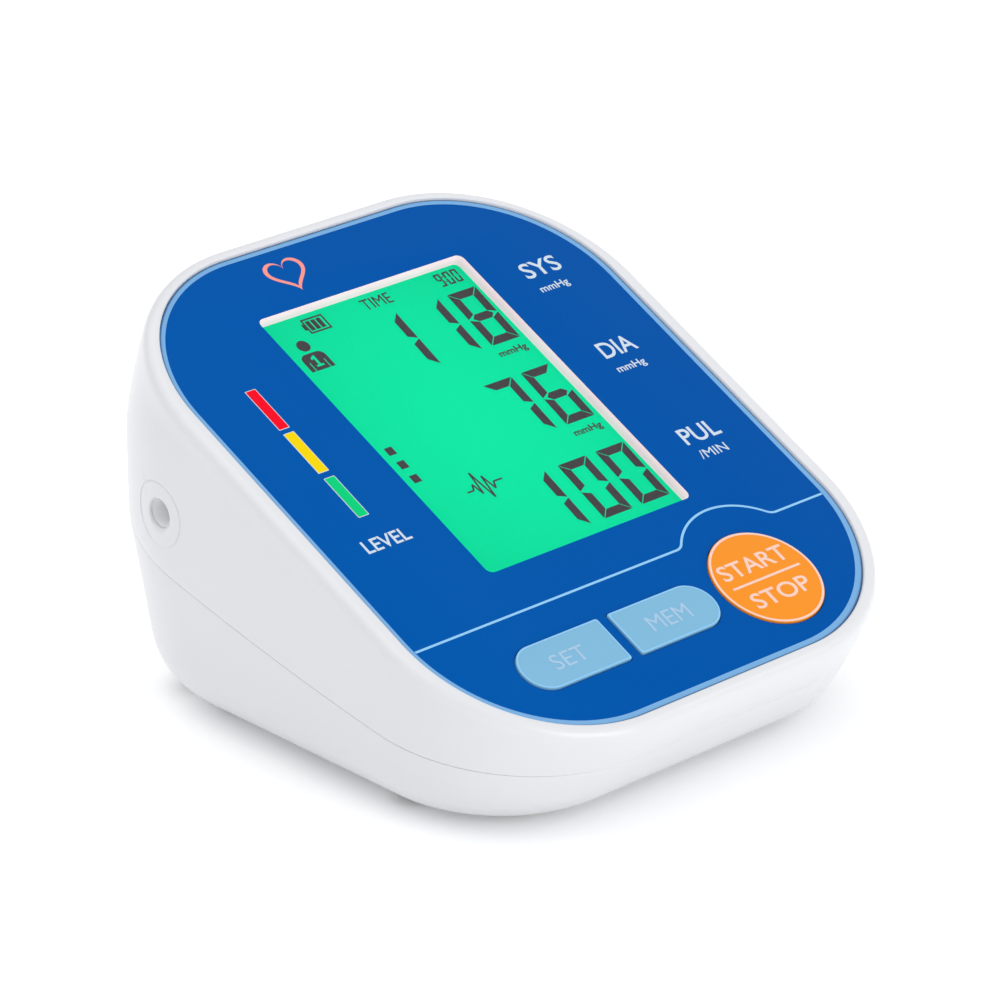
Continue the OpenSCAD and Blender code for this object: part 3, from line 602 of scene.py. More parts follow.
def post_points():
    """Points of the upright back corners."""
    out = []
    for side in (-1, 1):
        for x, y in arc(0, 0, POST_R, 0, 180, 120):
            for z in (POST_LOW, POST_HIGH):
                px = side * (SIDE_X - POST_R) + x
                out.append(Vector((px, BACK_Y - POST_R + y, z)))
    return out


def base_points():
    """Points of the rolled-under lower corners."""
    out = []
    for cx, cy, r in BASE_CORNERS:
        for x, z in arc(r - BASE_ROUND, BASE_Z + BASE_ROUND, BASE_ROUND, 0, -90, 24):
            out += [Vector((px, py, z)) for px, py in circle(cx, cy, x, 120)]
    return out


def outer_hull():
    """Search tree of the convex form through all those points."""
    bm = bmesh.new()
    for p in rim_points() + post_points() + base_points():
        bm.verts.new(p)
    bmesh.ops.convex_hull(bm, input=bm.verts)
    tree = BVHTree.FromBMesh(bm)
    bm.free()
    return tree


def part_level(y, drop=0.0):
    """Height of the parting surface, an upright cylinder sector across the case."""
    return PART_Z - math.sqrt((PART_R + drop) ** 2 - (y - PART_Y) ** 2)


def skirt_level(y):
    return KEY_ROW.z + (RIM_FOOT + (y - KEY_ROW.y) * math.sin(TILT)) / math.cos(TILT)


def wall_point(tree, target, normal, level):
    """Where the wall stands beyond a plan point, on a level that depends on y."""
    direction = Vector((normal.x, normal.y, 0))
    y = target.y
    for _ in range(4):
        start = Vector((target.x, target.y, level(y))) - direction * 10
        hit = tree.ray_cast(start, direction)[0]
        y = hit.y
    return hit


def side_rows(tree, drop, steps):
    """Rings from the parting curve up to the skirt of the rim."""
    rim = rim_outline(0)
    base = outline(BASE_CORNERS)
    rings = []
    for i in range(steps):
        s = i / steps
        ring = []
        for (rp, rn), (bp, bn) in zip(rim, base):
            top = face_to_world(rp.x, rp.y, RIM_FOOT)
            target = bp.lerp(Vector((top.x, top.y)), s)
            normal = bn.lerp(rn, s).normalized()
            level = lambda y: (1 - s) * part_level(y, drop) + s * skirt_level(y)
            ring.append(wall_point(tree, target, normal, level))
        rings.append(ring)
    return rings


def roll_rows(tree, part_ring, steps):
    """Rings from below the parting curve, round the roll, to the flat base."""
    rings = [[] for _ in range(steps)]
    for start, (bp, bn) in zip(part_ring, outline(BASE_CORNERS)):
        out = Vector((bn.x, bn.y, 0))
        centre = Vector((bp.x, bp.y, BASE_Z + BASE_ROUND)) - out * BASE_ROUND
        gap = start - centre
        first = math.atan2(gap.z, gap.dot(out))
        for j in range(steps):
            a = first + (-math.pi / 2 - first) * (j + 1) / steps
            way = out * math.cos(a) + Vector((0, 0, math.sin(a)))
            hit = tree.ray_cast(centre, way)[0]
            rings[j].append(hit or centre + way * BASE_ROUND)
    return rings


def relax(rings, passes):
    """Softens creases by averaging each ring, but for the end ones, with those beside it."""
    for _ in range(passes):
        old = [[p.copy() for p in ring] for ring in rings]
        for i in range(1, len(rings) - 1):
            for k in range(len(rings[i])):
                rings[i][k] = old[i][k] * 0.5 + (old[i - 1][k] + old[i + 1][k]) * 0.25
    return rings


def ring_normals(rings):
    """Outward normals of a lofted grid of rings that run counter-clockwise and upwards."""
    out = []
    n = len(rings[0])
    for i in range(len(rings)):
        low, high = rings[max(i - 1, 0)], rings[min(i + 1, len(rings) - 1)]
        row = []
        for k in range(n):
            across = rings[i][(k + 1) % n] - rings[i][k - 1]
            row.append(across.cross(high[k] - low[k]).normalized())
        out.append(row)
    return out


def offset_rings(rings, normals, depth):
    return [[p - q * depth for p, q in zip(r, m)] for r, m in zip(rings, normals)]


def stepped(first, second, normals, depth, rise):
    """A ring moved inwards by depth, and towards the next ring by rise."""
    ring = []
    for p, q, after in zip(first, normals, second):
        gap = after - p
        ring.append(p - q * depth + gap.normalized() * min(rise, gap.length * 0.8))
    return ring


def lip(first, second, normals, depth, rise):
    """Parting edge: inner wall, rabbet or tongue, then a small rounding to the surface."""
    rings = [stepped(first, second, normals, WALL, rise)]
    rings.append(stepped(first, second, normals, depth, rise))
    rings.append(stepped(first, second, normals, depth, 0))
    rings.append(stepped(first, second, normals, LIP, 0))
    for share in (0.3, 0.7):
        a = math.pi / 2 * share
        cut, lift = LIP * (1 - math.sin(a)), LIP * (1 - math.cos(a))
        rings.append(stepped(first, second, normals, cut, lift))
    rings.append(stepped(first, second, normals, 0, LIP))
    return rings


def face_ring(points, n):
    return [face_to_world(p.x, p.y, n) for p, _ in points]


def rim_rings():
    """Soft rim, from the skirt over its crown and down to the panel's seat."""
    rings = [face_ring(rim_outline(0), n) for n in (RIM_FOOT, -3.4, -2.5)]
    for i in range(9):
        a = math.pi / 2 * i / 8
        cut = RIM_CUT * (1 - math.cos(a))
        rings.append(face_ring(rim_outline(cut), RIM_TOP - RIM_RISE * (1 - math.sin(a))))
    for grow, drop in ((0.5, 0), (0.3, 0.05), (0.17, 0.16), (0.1, 0.36)):
        rings.append(face_ring(panel_outline(grow), RIM_TOP - drop))
    rings.append(face_ring(panel_outline(0.1), -PANEL_T))
    return rings


def key_outline(side, grow):
    """Outline of a key with one round end; side is -1 for the left key."""
    r = KEY_H / 2 + grow
    flat = KEY_L / 2 - KEY_H / 2
    small = 0.5
    x = KEY_L / 2 + grow - small
    y = r - small
    if side < 0:
        left = arc(-flat, 0, r, 90, 270, 32)
        return left + arc(x, -y, small, 270, 360, 6) + arc(x, y, small, 0, 90, 6)
    right = arc(flat, 0, r, -90, 90, 32)
    return right + arc(-x, y, small, 90, 180, 6) + arc(-x, -y, small, 180, 270, 6)


def moved(points, dx):
    return [(x + dx, y) for x, y in points]


def face_openings(grow):
    """Outlines of the window and the keys' openings."""
    return [
        rounded_rectangle(0, WINDOW_MID, WINDOW_W, WINDOW_L, WINDOW_R),
        moved(key_outline(-1, grow), SET_X),
        moved(key_outline(1, grow), MEM_X),
        circle(START_X, 0, START_R + grow, 96),
    ]


def upper_case(tree):
    """Upper housing: wall, rim and deck as one lofted shell, then its openings."""
    top = rim_rings()
    rings = relax(side_rows(tree, 0.0, SIDE_STEPS) + top[:2], 2)[:-1]
    normals = ring_normals(rings)
    inner = offset_rings(rings, normals, WALL)
    under = face_ring(rim_outline(WALL), DECK_LOW)
    edge = lip(rings[0], rings[1], normals[0], RABBET, 1.0)
    shell = [under] + inner[:0:-1] + edge + rings[1:] + top[1:]
    case = in_world("upper_case", loft(shell), "case_white")
    cutters = [tool(prisms(face_openings(0.25), DECK_LOW - 2, 2), FACE)]
    cutters.append(tool(lathe(PORT_MOUTH, PORT, LEFT, 96)))
    cutters.append(tool(port_ring(tree)))
    cutters.append(tool(lathe([(-8, 4.2), (4, 4.2)], SOCKET, RIGHT)))
    boolean(case, cutters)
    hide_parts("upper_housing")


# port opening, as (distance outwards from the wall, radius): sleeve's hole, then a soft bevel
PORT_MOUTH = [(-8, 3.4), (-0.95, 3.4), (-0.95, 2.42), (-0.75, 2.42), (-0.55, 2.52), (-0.35, 2.7)]
PORT_MOUTH += [(-0.2, 2.9), (-0.1, 3.1), (0.3, 4.0)]


def port_ring(tree):
    """Cutter for the shallow ring round the air port, following the wall's curve."""
    turn = LEFT.to_track_quat("Z", "Y")
    rings = []
    groove = [(-0.14, 5.55), (-0.14, 5.65), (0.0, 5.8), (3, 5.8), (3, 5.4), (0.0, 5.4)]
    for along, r in groove + groove[:1]:
        ring = []
        for x, y in circle(0, 0, r, 96):
            place = PORT + turn @ Vector((x, y, -6))
            wall = tree.ray_cast(place, LEFT)[0]
            ring.append(tuple(wall + LEFT * along))
        rings.append(ring)
    return loft(rings, False, False)


def lower_rings(tree):
    """Outer rings of the lower case, from the parting curve down to the flat base."""
    first = side_rows(tree, PART_GAP, SIDE_STEPS)[0]
    return relax([first] + roll_rows(tree, first, ROLL_STEPS), 1)


def lower_case(tree):
    """Lower housing: lofted tray with its battery box, screw wells and seats for the feet."""
    rows = lower_rings(tree)
    normals = ring_normals(rows[::-1])[::-1]
    inner = offset_rings(rows, normals, WALL)
    edge = lip(rows[0], rows[1], normals[0], RABBET + 0.1, -0.3)
    case = in_world("lower_case", loft(inner[:0:-1] + edge + rows[1:]), "case_white")
    foot_of_box = tool(box_shape((-BOX_X, BOX_FRONT, BOX_LOW), (BOX_X, BOX_BACK, BOX_MID)))
    boolean(foot_of_box, [tool(loft(offset_rings(rows, normals, WALL / 2)))], "INTERSECT")
    box = tool(box_shape((-BOX_X, BOX_FRONT, BOX_MID - 0.1), (BOX_X, BOX_BACK, BOX_TOP)))
    boolean(case, [foot_of_box, box], "UNION")
    cutters = [tool(box_shape((-30, -12.1, 1.5), (30, 44.6, 18.2)))]
    slot_x, slot_y = DOOR_X + DOOR_GAP, DOOR_FRONT - DOOR_GAP
    cutters.append(tool(box_shape((-slot_x, slot_y, -2), (slot_x, PAST_BACK, 3.0))))
    slot_x += 1.2
    cutters.append(tool(box_shape((-slot_x, slot_y, 1.7), (slot_x, PAST_BACK, DOOR_TOP))))
    for x, y, r, depth in SCREW_WELLS:
        cutters.append(tool(lathe([(-2, r), (depth, r)], Vector((x, y, 0)), UP, 48)))
    boolean(case, cutters)
    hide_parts("lower_housing")


def door_grip():
    """Raised arrow ribs of the door, as cutters between them."""
    shapes = []
    for i in range(6):
        half = 9 - i * 0.8
        y = 33 + i * 1.6
        shapes.append(box_shape((-half, y, 0), (half, y + 0.8, BASE_Z + 0.5)))
    return shapes


def battery_door(tree):
    """Sliding door: the lower form's own skin inside the door's outline."""
    door = in_world("battery_cover_door", loft(lower_rings(tree)), "case_white", None)
    keep = tool(box_shape((-DOOR_X, DOOR_FRONT, 0), (DOOR_X, 60, DOOR_TOP)))
    tongues = tool(box_shape((-DOOR_X - 1.2, DOOR_FRONT, 1.8), (DOOR_X + 1.2, 60, 2.8)))
    boolean(keep, [tongues], "UNION")
    boolean(door, [keep], "INTERSECT")
    boolean(door, [tool(shape) for shape in door_grip()])
    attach(door, "battery_cover")
    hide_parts("battery_door")


POSTS = [(-36.5, 38), (36.5, 38), (-37.5, -18), (37.5, -18)]
FEET = [(-35.8, 26), (35.8, 26), (-28, -30), (28, -30)]
SCREW_WELLS = [(x, y, 2.9, part_level(y) - 5.8) for x, y in POSTS]
SCREW_WELLS += [(x, y, 2.9, 1.5) for x, y in FEET]

# ---------- front panel and its print ----------

PANEL_SKIN = 0.03                        # thickness of the ink over the film


def front_panel():
    """Film panel with softened edges, its openings cut out."""
    grow, soft = 0.07, 0.16
    rings = [face_ring(panel_outline(grow), n) for n in (-PANEL_T + 0.02, -soft)]
    for i in range(1, 5):
        a = math.pi / 2 * i / 4
        edge = panel_outline(grow - soft * (1 - math.cos(a)))
        rings.append(face_ring(edge, -soft * (1 - math.sin(a))))
    panel = in_world("panel_film", loft(rings), "panel_blue")
    boolean(panel, [tool(prisms(face_openings(0.2), -3, 2), FACE)])
    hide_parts("front_panel")


def window_liner():
    """White wall of the display's opening, thinning to nothing at the panel's face."""
    rings = []
    bottom = DECK_LOW + 0.02
    for gap, n in ((-0.04, bottom), (-0.04, -0.06), (-0.01, -0.06), (0.1, -0.3), (0.22, -1.0)):
        size = (WINDOW_W - 2 * gap, WINDOW_L - 2 * gap)
        edge = rounded_rectangle(0, WINDOW_MID, *size, WINDOW_R - gap, 10)
        rings.append([(x, y, n) for x, y in edge])
    rings.append([(x, y, bottom) for x, y, _ in rings[-1]])
    liner = on_face("window_liner", loft(rings + rings[:1], False, False), "window_wall")


def flat_points(ring):
    return [(p.x, p.y) for p, _ in ring]


def panel_border():
    """Light blue border printed along the panel's edge, wider at the front right, with a thin darker ring
    of painted shade outside it where the panel meets the rim.
    """
    outer = flat_points(panel_outline(-0.27))
    corners = box_corners(PANEL_W - 2.1, PANEL_L - 2.2, PANEL_R - 1.0, PANEL_MID + 0.1)
    inner = moved(flat_points(outline(corners)), -0.15)
    on_face("panel_border", ring_band(outer, inner, -0.02, PANEL_SKIN), "panel_edge")
    # painted shade: a thin darker blue ring on the panel's outer edge, for the shade along the rim
    shade_ring = flat_points(panel_outline(-0.05))
    on_face("panel_edge_shade", ring_band(shade_ring, outer, -0.03, 0.01), "panel_edge_shade")


LINE_V, BUMP_R, BUMP_X, BUMP_V, FILLET = 11.16, 13.3, START_X + 1, 3.0, 2.4


def divider_path():
    """Straight line across the panel that bulges over the start key, with a fillet each side."""
    rise = LINE_V + FILLET - BUMP_V
    run = math.sqrt((BUMP_R + FILLET) ** 2 - rise ** 2)
    turn = math.degrees(math.atan2(rise, run))
    left = BUMP_X - run
    right = BUMP_X + run
    path = [(-PANEL_W / 2 + 1.1, LINE_V)]
    path += arc(left, LINE_V + FILLET, FILLET, -90, -turn, 10)
    path += arc(BUMP_X, BUMP_V, BUMP_R, 180 - turn, turn, 40)[1:-1]
    path += arc(right, LINE_V + FILLET, FILLET, 180 + turn, 270, 10)
    path.append((PANEL_W / 2 - 1.4, LINE_V))
    return path


def ink(name, outlines, material, body="case", level=0.0, thick=PANEL_SKIN):
    """Printed flat shapes on the panel or on a key."""
    return on_face(name, prisms(outlines, level - 0.02, level + thick), material, body)


def lettering(name, words, x, y, height, material, body="case", level=0.0, width=None, bold=0.012):
    """Generic function words in relief ink, centred on x and standing on y."""
    curve = bpy.data.curves.new(name, "FONT")
    curve.body = words
    curve.align_x = "CENTER"
    curve.extrude = 0.5
    curve.offset = bold
    curve.resolution_u = 4
    maker = bpy.data.objects.new(name, curve)
    bpy.context.scene.collection.objects.link(maker)
    bpy.context.view_layer.update()
    graph = bpy.context.evaluated_depsgraph_get()
    mesh = bpy.data.meshes.new_from_object(maker.evaluated_get(graph))
    bpy.data.objects.remove(maker)
    xs = [v.co.x for v in mesh.vertices]
    ys = [v.co.y for v in mesh.vertices]
    tall = height / (max(ys) - min(ys))
    wide = width / (max(xs) - min(xs)) if width else tall
    middle = (max(xs) + min(xs)) / 2
    size = Matrix.Diagonal((wide, tall, PANEL_SKIN + 0.02, 1))
    fit = Matrix.Translation((x, y, level - 0.02)) @ size
    mesh.transform(FACE @ fit @ Matrix.Translation((-middle, -min(ys), 0.5)))
    return finish_mesh(name, mesh, material, body, 30)


def level_bars():
    """Three coloured bars for the reading's level, each in a thin pale outline."""
    left, right = -35.4, -33.4
    for name, low, high in (("red", 59.7, 68.9), ("yellow", 49.2, 58.5), ("green", 38.6, 47.7)):
        mid = ((left + right) / 2, (low + high) / 2)
        size = (right - left, high - low)
        border = rounded_rectangle(*mid, size[0] + 0.26, size[1] + 0.26, 0.15, 4)
        fill = rounded_rectangle(*mid, *size, 0.1, 4)
        ink("level_outline_" + name, [border], "print_pale", thick=0.02)
        ink("level_bar_" + name, [fill], "bar_" + name, thick=0.035)


def heart_outline(cx, cy, size):
    out = []
    steps = 64
    for i in range(steps):
        t = math.tau * i / steps
        x = 16 * math.sin(t) ** 3
        y = 13 * math.cos(t) - 5 * math.cos(2 * t) - 2 * math.cos(3 * t) - math.cos(4 * t)
        out.append((cx - x * size / 32, cy + y * size / 32))
    return out


def panel_print():
    ink("divider_line", [stroke(divider_path(), 0.42)], "print_blue")
    level_bars()
    lettering("level_heading", "LEVEL", -34.4, 31.3, 2.7, "print_pale", width=9.4)
    heart = ring_band(heart_outline(-10.2, 89.4, 8.2), heart_outline(-10.2, 89.5, 6.6), -0.02, PANEL_SKIN)
    on_face("heart_mark", heart, "print_rose")
    for words, y, height, width in (
        ("SYS", 72.2, 3.6, 8.2), ("mmHg", 68.2, 2.0, 6.4), ("DIA", 51.4, 3.6, 7.6),
        ("mmHg", 47.4, 2.0, 6.4), ("PUL", 29.4, 3.6, 8.2), ("/MIN", 25.8, 1.9, 6.2),
    ):
        bold = 0.0 if "M" in words else 0.012
        name = "label_%s_%d" % (words.strip("/").lower(), round(y))
        x = 34.6 if height > 3 else 34.0
        lettering(name, words, x, y, height, "print_pale", width=width, bold=bold)


# ---------- keys ----------


def key_cap(name, shape_at, x, material, body, node):
    """Key with a softly rounded top edge and a shallow crown."""
    grow, soft = 0.07, 0.12
    rings = [[(px, py, DECK_LOW + 0.1) for px, py in moved(shape_at(grow), x)]]
    for i in range(6):
        a = math.pi / 2 * i / 5
        gap = soft * (1 - math.cos(a))
        level = KEY_PROUD - soft * (1 - math.sin(a))
        rings.append([(px, py, level) for px, py in moved(shape_at(grow - gap), x)])
    key = on_face(name, loft(rings), material, body)
    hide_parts(node)


def rim_line(name, shape_at, x, width, material, body):
    """Thin outline printed just inside a key's edge."""
    outer = moved(shape_at(-0.05), x)
    inner = moved(shape_at(-0.05 - width), x)
    band = ring_band(outer, inner, KEY_PROUD - 0.04, KEY_PROUD + PANEL_SKIN)
    on_face(name, band, material, body)


def keys():
    left = lambda grow: key_outline(-1, grow)
    right = lambda grow: key_outline(1, grow)
    disc = lambda grow: circle(0, 0, START_R + grow, 96)
    key_cap("set_key_cap", left, SET_X, "key_light_blue", "set_key", "set_button")
    key_cap("mem_key_cap", right, MEM_X, "key_light_blue", "mem_key", "mem_button")
    key_cap("start_key_cap", disc, START_X, "key_orange", "start_key", "start_button")
    rim_line("set_key_line", left, SET_X, 0.26, "print_blue", "set_key")
    rim_line("mem_key_line", right, MEM_X, 0.26, "print_blue", "mem_key")
    rim_line("start_key_line", disc, START_X, 0.42, "print_pink", "start_key")
    for name, word, x, y, height, material, body, width, bold in (
        ("set_key_word", "SET", SET_X - 0.1, -1.7, 3.1, "print_sky", "set_key", 7.3, 0.0),
        ("mem_key_word", "MEM", MEM_X - 0.3, -1.7, 3.1, "print_sky", "mem_key", 8.8, 0.0),
        ("start_key_word", "START", START_X - 0.2, 1.75, 3.3, "print_pink", "start_key", 15.0, 0.012),
        ("stop_key_word", "STOP", START_X + 0.1, -5.3, 3.3, "print_pink", "start_key", 12.8, 0.012),
    ):
        lettering(name, word, x, y, height, material, body, KEY_PROUD, width, bold)
    bar = rectangle(START_X - 7.7, -0.23, START_X + 7.7, 0.23)
    ink("start_key_bar", [bar], "print_pink", "start_key", KEY_PROUD)


# ---------- display ----------

LCD_LEFT, LCD_TOP = -20.5, 81.7          # corner that the display's layout counts from
LCD_LEVEL = POLARISER_TOP + 0.01


def lcd(x, y):
    """Face point of a place on the display, counted right and down from its corner."""
    return (LCD_LEFT + x, LCD_TOP - y)


DIGITS = {"0": "abcdef", "1": "bc", "6": "afgedc", "7": "abc", "8": "abcdefg", "9": "abcdfg"}
LEAN = 0.03
HUNDREDS_GAP = 0.8


def segments(w, h, t):
    """Mitred bars of a seven-segment digit with its top left at the origin."""
    e = t * 0.07
    m = h / 2
    left_top = [(0, -e), (t, -e - t), (t, t / 2 + e - m), (0, e - m)]
    top = [(e, 0), (w - e, 0), (w - e - t, -t), (e + t, -t)]
    middle = [(t / 2 + e, -m), (t + e, t / 2 - m), (w - t - e, t / 2 - m)]
    middle += [(w - t / 2 - e, -m), (w - t - e, -t / 2 - m), (t + e, -t / 2 - m)]
    flip = lambda bar: [(x, -h - y) for x, y in bar]
    swap = lambda bar: [(w - x, y) for x, y in bar]
    return {
        "a": top, "b": swap(left_top), "c": swap(flip(left_top)), "d": flip(top),
        "e": flip(left_top), "f": left_top, "g": middle,
    }


def digit(mark, x, y, w, h, thick):
    """Outlines of one digit; x, y is its top left on the display."""
    bars = segments(w, h, thick)
    fx, fy = lcd(x, y)
    return [[(fx + px + (py + h) * LEAN, fy + py) for px, py in bars[s]] for s in DIGITS[mark]]


def number(text, right, y, w, h, pitch, thick):
    """Digits set from the right, with a wider gap before the hundreds."""
    out = []
    for i, mark in enumerate(reversed(text)):
        gap = HUNDREDS_GAP if i == 2 else 0
        out += digit(mark, right - w - gap - i * pitch, y, w, h, thick)
    return out


def lcd_ink(name, outlines):
    fixed = [o if signed_area(o) > 0 else o[::-1] for o in outlines]
    return on_face(name, prisms(fixed, LCD_LEVEL - 0.01, LCD_LEVEL + 0.04), "segment_dark")


def signed_area(points):
    n = len(points)
    return sum(points[k - 1][0] * points[k][1] - points[k][0] * points[k - 1][1] for k in range(n)) / 2


def lcd_word(name, words, x, y, height, width, bold):
    fx, fy = lcd(x, y)
    lettering(name, words, fx, fy, height, "segment_dark", level=LCD_LEVEL, width=width, bold=bold)


def readings():
    """Three large numbers and the clock."""
    for name, text, y in (("sys", "118", 5.7), ("dia", "76", 25.8), ("pulse", "100", 45.7)):
        lcd_ink("reading_" + name, number(text, 42.0, y, 6.4, 12.9, 8.6, 1.65))
    clock = number("00", 41.6, 0.8, 1.3, 3.0, 1.75, 0.34)
    clock += number("9", 37.9, 0.8, 1.3, 3.0, 1.75, 0.34)
    for y in (1.7, 2.9):
        clock.append(circle(*lcd(38.3, y), 0.16, 12))
    lcd_ink("reading_clock", clock)
    lcd_word("lcd_mmhg_upper", "mmHg", 38.5, 21.9, 1.9, 6.2, 0.02)
    lcd_word("lcd_mmhg_lower", "mmHg", 38.5, 42.0, 1.9, 6.2, 0.02)
    lcd_word("lcd_time", "TIME", 22.9, 3.4, 2.4, 6.3, 0.0)


def battery_mark():
    """Battery sign with three charge bars."""
    x0, y0 = lcd(6.8, 4.4)
    x1, y1 = lcd(11.4, 1.0)
    line = 0.32
    outer = rectangle(x0, y0, x1, y1)
    inner = rectangle(x0 + line, y0 + line, x1 - line, y1 - line)
    band = ring_band(outer, inner, LCD_LEVEL - 0.01, LCD_LEVEL + 0.04)
    on_face("lcd_battery_frame", band, "segment_dark")
    bars = []
    for i in range(3):
        left = x0 + 0.6 + i * 1.15
        bars.append(rectangle(left, y0 + 0.6, left + 0.85, y1 - 0.6))
    bars.append(rectangle(x0 - 0.5, y0 + 1.0, x0 - 0.05, y1 - 1.0))
    lcd_ink("lcd_battery_bars", bars)


def user_mark():
    """Head and shoulders with a lit user number on the chest."""
    head = circle(*lcd(3.5, 6.2), 1.25, 28)
    x0, y0 = lcd(1.0, 11.9)
    x1, y1 = lcd(6.0, 8.0)
    arm, slit, armpit = 0.85, 0.22, 1.9
    shape = [(x0, y0), (x0 + arm, y0), (x0 + arm, y1 - armpit), (x0 + arm + slit, y1 - armpit)]
    shape += [(x0 + arm + slit, y0), (x1 - arm - slit, y0), (x1 - arm - slit, y1 - armpit)]
    shape += [(x1 - arm, y1 - armpit), (x1 - arm, y0), (x1, y0)]
    shape += arc(x1 - 1.3, y1 - 1.3, 1.3, 0, 90, 8) + arc(x0 + 1.3, y1 - 1.3, 1.3, 90, 180, 8)
    lcd_ink("lcd_user_mark", [head, shape])
    x, y = (x0 + x1) / 2, y0 + 0.75
    one = [(x - 0.75, y), (x + 0.75, y), (x + 0.75, y + 0.38), (x + 0.24, y + 0.38), (x + 0.24, y + 2.5)]
    one += [(x - 0.14, y + 2.5), (x - 0.75, y + 2.05), (x - 0.75, y + 1.6), (x - 0.24, y + 1.85)]
    one += [(x - 0.24, y + 0.38), (x - 0.75, y + 0.38)]
    numeral = ink("lcd_user_number", [one], "display_green", level=LCD_LEVEL + 0.06, thick=0.01)


def pulse_mark():
    """Heartbeat trace."""
    beat = [(8.2, 44.6), (9.6, 44.6), (10.2, 43.4), (10.8, 45.8), (11.4, 41.0), (12.3, 47.2), (13.0, 42.4),
            (13.7, 45.6), (14.3, 44.2), (16.2, 44.2)]
    path = [lcd(*p) for p in beat]
    lines = [stroke(path[i:i + 2], 0.32) for i in range(len(path) - 1)]
    lcd_ink("lcd_pulse_mark", lines)


def side_squares():
    """Three small squares down the left edge."""
    marks = []
    for y in (31.8, 35.1, 38.5):
        cx, cy = lcd(1.85, y)
        marks.append(rectangle(cx - 0.8, cy - 0.85, cx + 0.8, cy + 0.85))
    lcd_ink("lcd_side_marks", marks)


def display():
    readings()
    battery_mark()
    user_mark()
    pulse_mark()
    side_squares()


# ---------- air port, socket, feet and screws ----------


def air_port():
    """Port sleeve behind the left wall: flange, stepped bore and a barb inside."""
    profile = [(-11.8, 0.75), (-11.8, 1.25), (-11.6, 1.4), (-7.0, 1.4), (-7.0, 3.35), (-5.0, 3.35)]
    profile += [(-5.0, 5.0), (-3.75, 5.0), (-3.75, 3.35), (-1.0, 3.35), (-1.0, 2.4), (-6.1, 2.4)]
    profile += [(-6.2, 2.3), (-6.2, 0.75)]
    sleeve = lathe(profile + profile[:1], PORT, LEFT, 72, False)
    port = in_world("air_port_sleeve", sleeve, "inner_white_plastic")
    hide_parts("air_port")


def foot(x, y):
    """Domed rubber foot."""
    profile = [(1.45, 2.8), (0.35, 2.8), (0.14, 2.68), (0.03, 2.4), (0.0, 2.0), (0.0, 1.6), (0.12, 1.4)]
    return lathe(profile, Vector((x, y, 0)), UP, 40)


def feet():
    piece = in_world("rubber_feet_set", joined([foot(x, y) for x, y in FEET]), "dark_rubber")
    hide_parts("rubber_feet")


# ---------- carried-over frame pieces ----------


def coil_rings(low, high, wire, turns, steps=96):
    """Rings of a wire wound round the middle of a box, in mm."""
    mid = (low + high) / 2
    radius = (high.x - low.x) / 2 - wire
    rings = []
    for i in range(steps + 1):
        angle = math.tau * turns * i / steps
        out = Vector((math.cos(angle), math.sin(angle), 0))
        rise = low.z + wire + (high.z - low.z - 2 * wire) * i / steps
        centre = Vector((mid.x, mid.y, rise)) + out * radius
        rings.append([centre + out * x + UP * z for x, z in circle(0, 0, wire, 10)])
    return rings


def return_spring():
    """The valve's spring, wound to fill its CAD piece's box, on a mesh of its own."""
    low, high = (Vector(p) * 1000 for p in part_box("valve_spring"))
    spring = in_world("return_spring", loft(coil_rings(low, high, 0.2, 3)), "bright_metal")
    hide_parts("valve_spring")
    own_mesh(spring)


def paint_frame():
    """Every CAD piece that still shows takes its slot's material."""
    for entry in frame["record"]["subparts"]:
        obj = frame["nodes"][entry["node"]]
        if obj.hide_render:
            continue
        obj.data.materials.clear()
        obj.data.materials.append(MATERIALS[entry["material_slot"]])


# ---------- floor, light and camera ----------


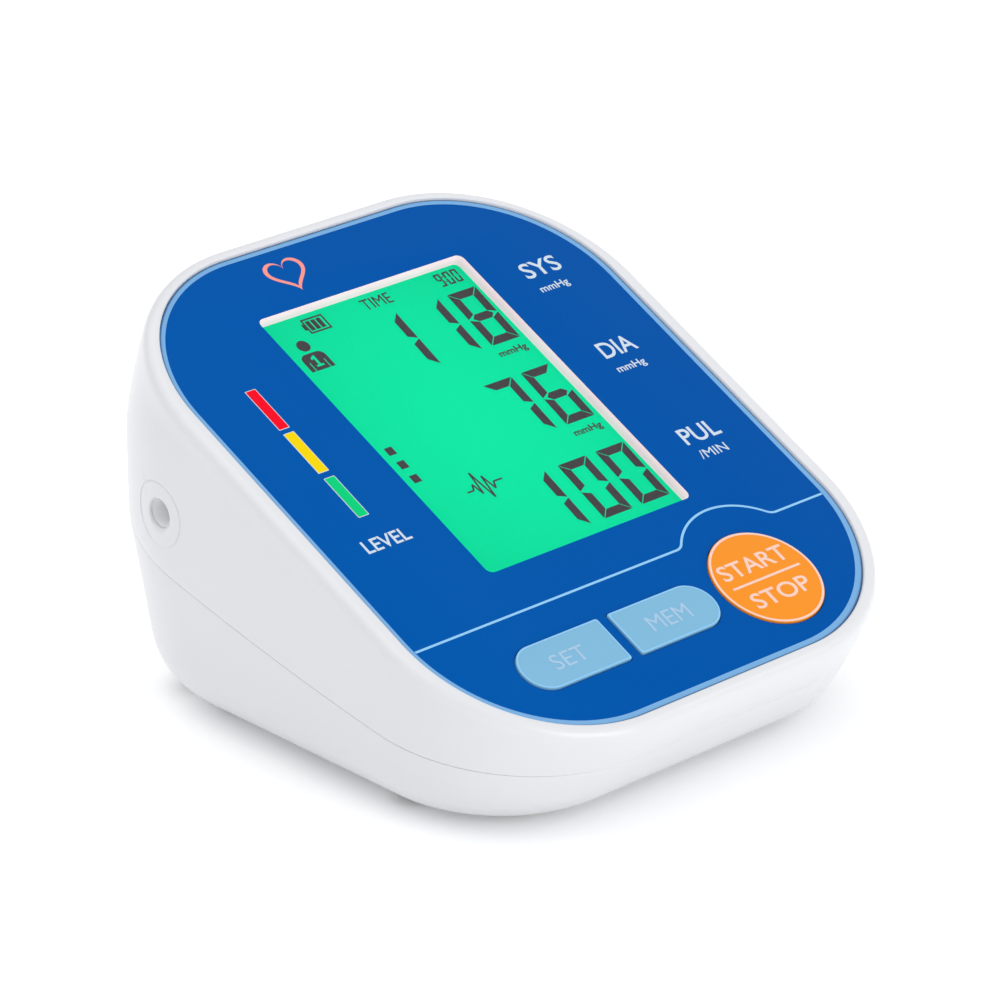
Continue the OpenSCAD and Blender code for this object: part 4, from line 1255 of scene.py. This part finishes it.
def floor_material():
    s = Shader("studio_floor")
    s.set(Base_Color=s.mix(s.noise(6), (0.97, 0.97, 0.97, 1), (0.98, 0.98, 0.98, 1)))
    s.set(Emission_Color=(1, 1, 1, 1), Emission_Strength=0.1)
    s.set(Roughness=s.remap(s.noise(30), 0.3, 0.7, 0.75, 0.85), Specular_IOR_Level=0.1)
    return s.material


def stage():
    floor = bpy.data.meshes.new("floor")
    bm = bmesh.new()
    bmesh.ops.create_grid(bm, x_segments=1, y_segments=1, size=6)
    bm.to_mesh(floor)
    bm.free()
    obj = bpy.data.objects.new("studio_floor", floor)
    obj.data.materials.append(floor_material())
    bpy.context.scene.collection.objects.link(obj)


def softbox(name, place, size, power, target=(0, 0, 0.03)):
    light = bpy.data.lights.new(name, "AREA")
    light.size = size
    light.energy = power
    obj = bpy.data.objects.new(name, light)
    obj.location = place
    obj.rotation_euler = (Vector(target) - Vector(place)).to_track_quat("-Z", "Y").to_euler()
    bpy.context.scene.collection.objects.link(obj)


def lights():
    world = bpy.data.worlds.new("studio")
    world.use_nodes = True
    background = world.node_tree.nodes["Background"]
    background.inputs["Color"].default_value = (0.98, 0.985, 1.0, 1)
    background.inputs["Strength"].default_value = 0.82
    bpy.context.scene.world = world
    softbox("overhead", (-0.3, 0.45, 1.25), 1.7, 8.2)
    softbox("front", (0.2, -1.4, 0.35), 1.0, 8.5)
    softbox("rim", (0.76, -0.58, 0.74), 0.5, 0.9)
    softbox("left", (-1.3, -0.2, 0.6), 0.9, 0.6)


CAMERA_AT = (-0.5379, -0.5701, 0.3729)
CAMERA_AHEAD = (0.6290, 0.66903, -0.39582)


def camera():
    data = bpy.data.cameras.new("camera")
    data.lens = 187.2
    data.sensor_width = 36
    data.clip_end = 20
    obj = bpy.data.objects.new("camera", data)
    obj.location = CAMERA_AT
    obj.rotation_euler = Vector(CAMERA_AHEAD).to_track_quat("-Z", "Y").to_euler()
    bpy.context.scene.collection.objects.link(obj)
    bpy.context.scene.camera = obj
    bpy.context.scene.view_settings.view_transform = "Standard"


hull_tree = outer_hull()
upper_case(hull_tree)
lower_case(hull_tree)
battery_door(hull_tree)
front_panel()
window_liner()
panel_border()
panel_print()
keys()
display()
air_port()
feet()
return_spring()
paint_frame()
stage()
lights()
camera()
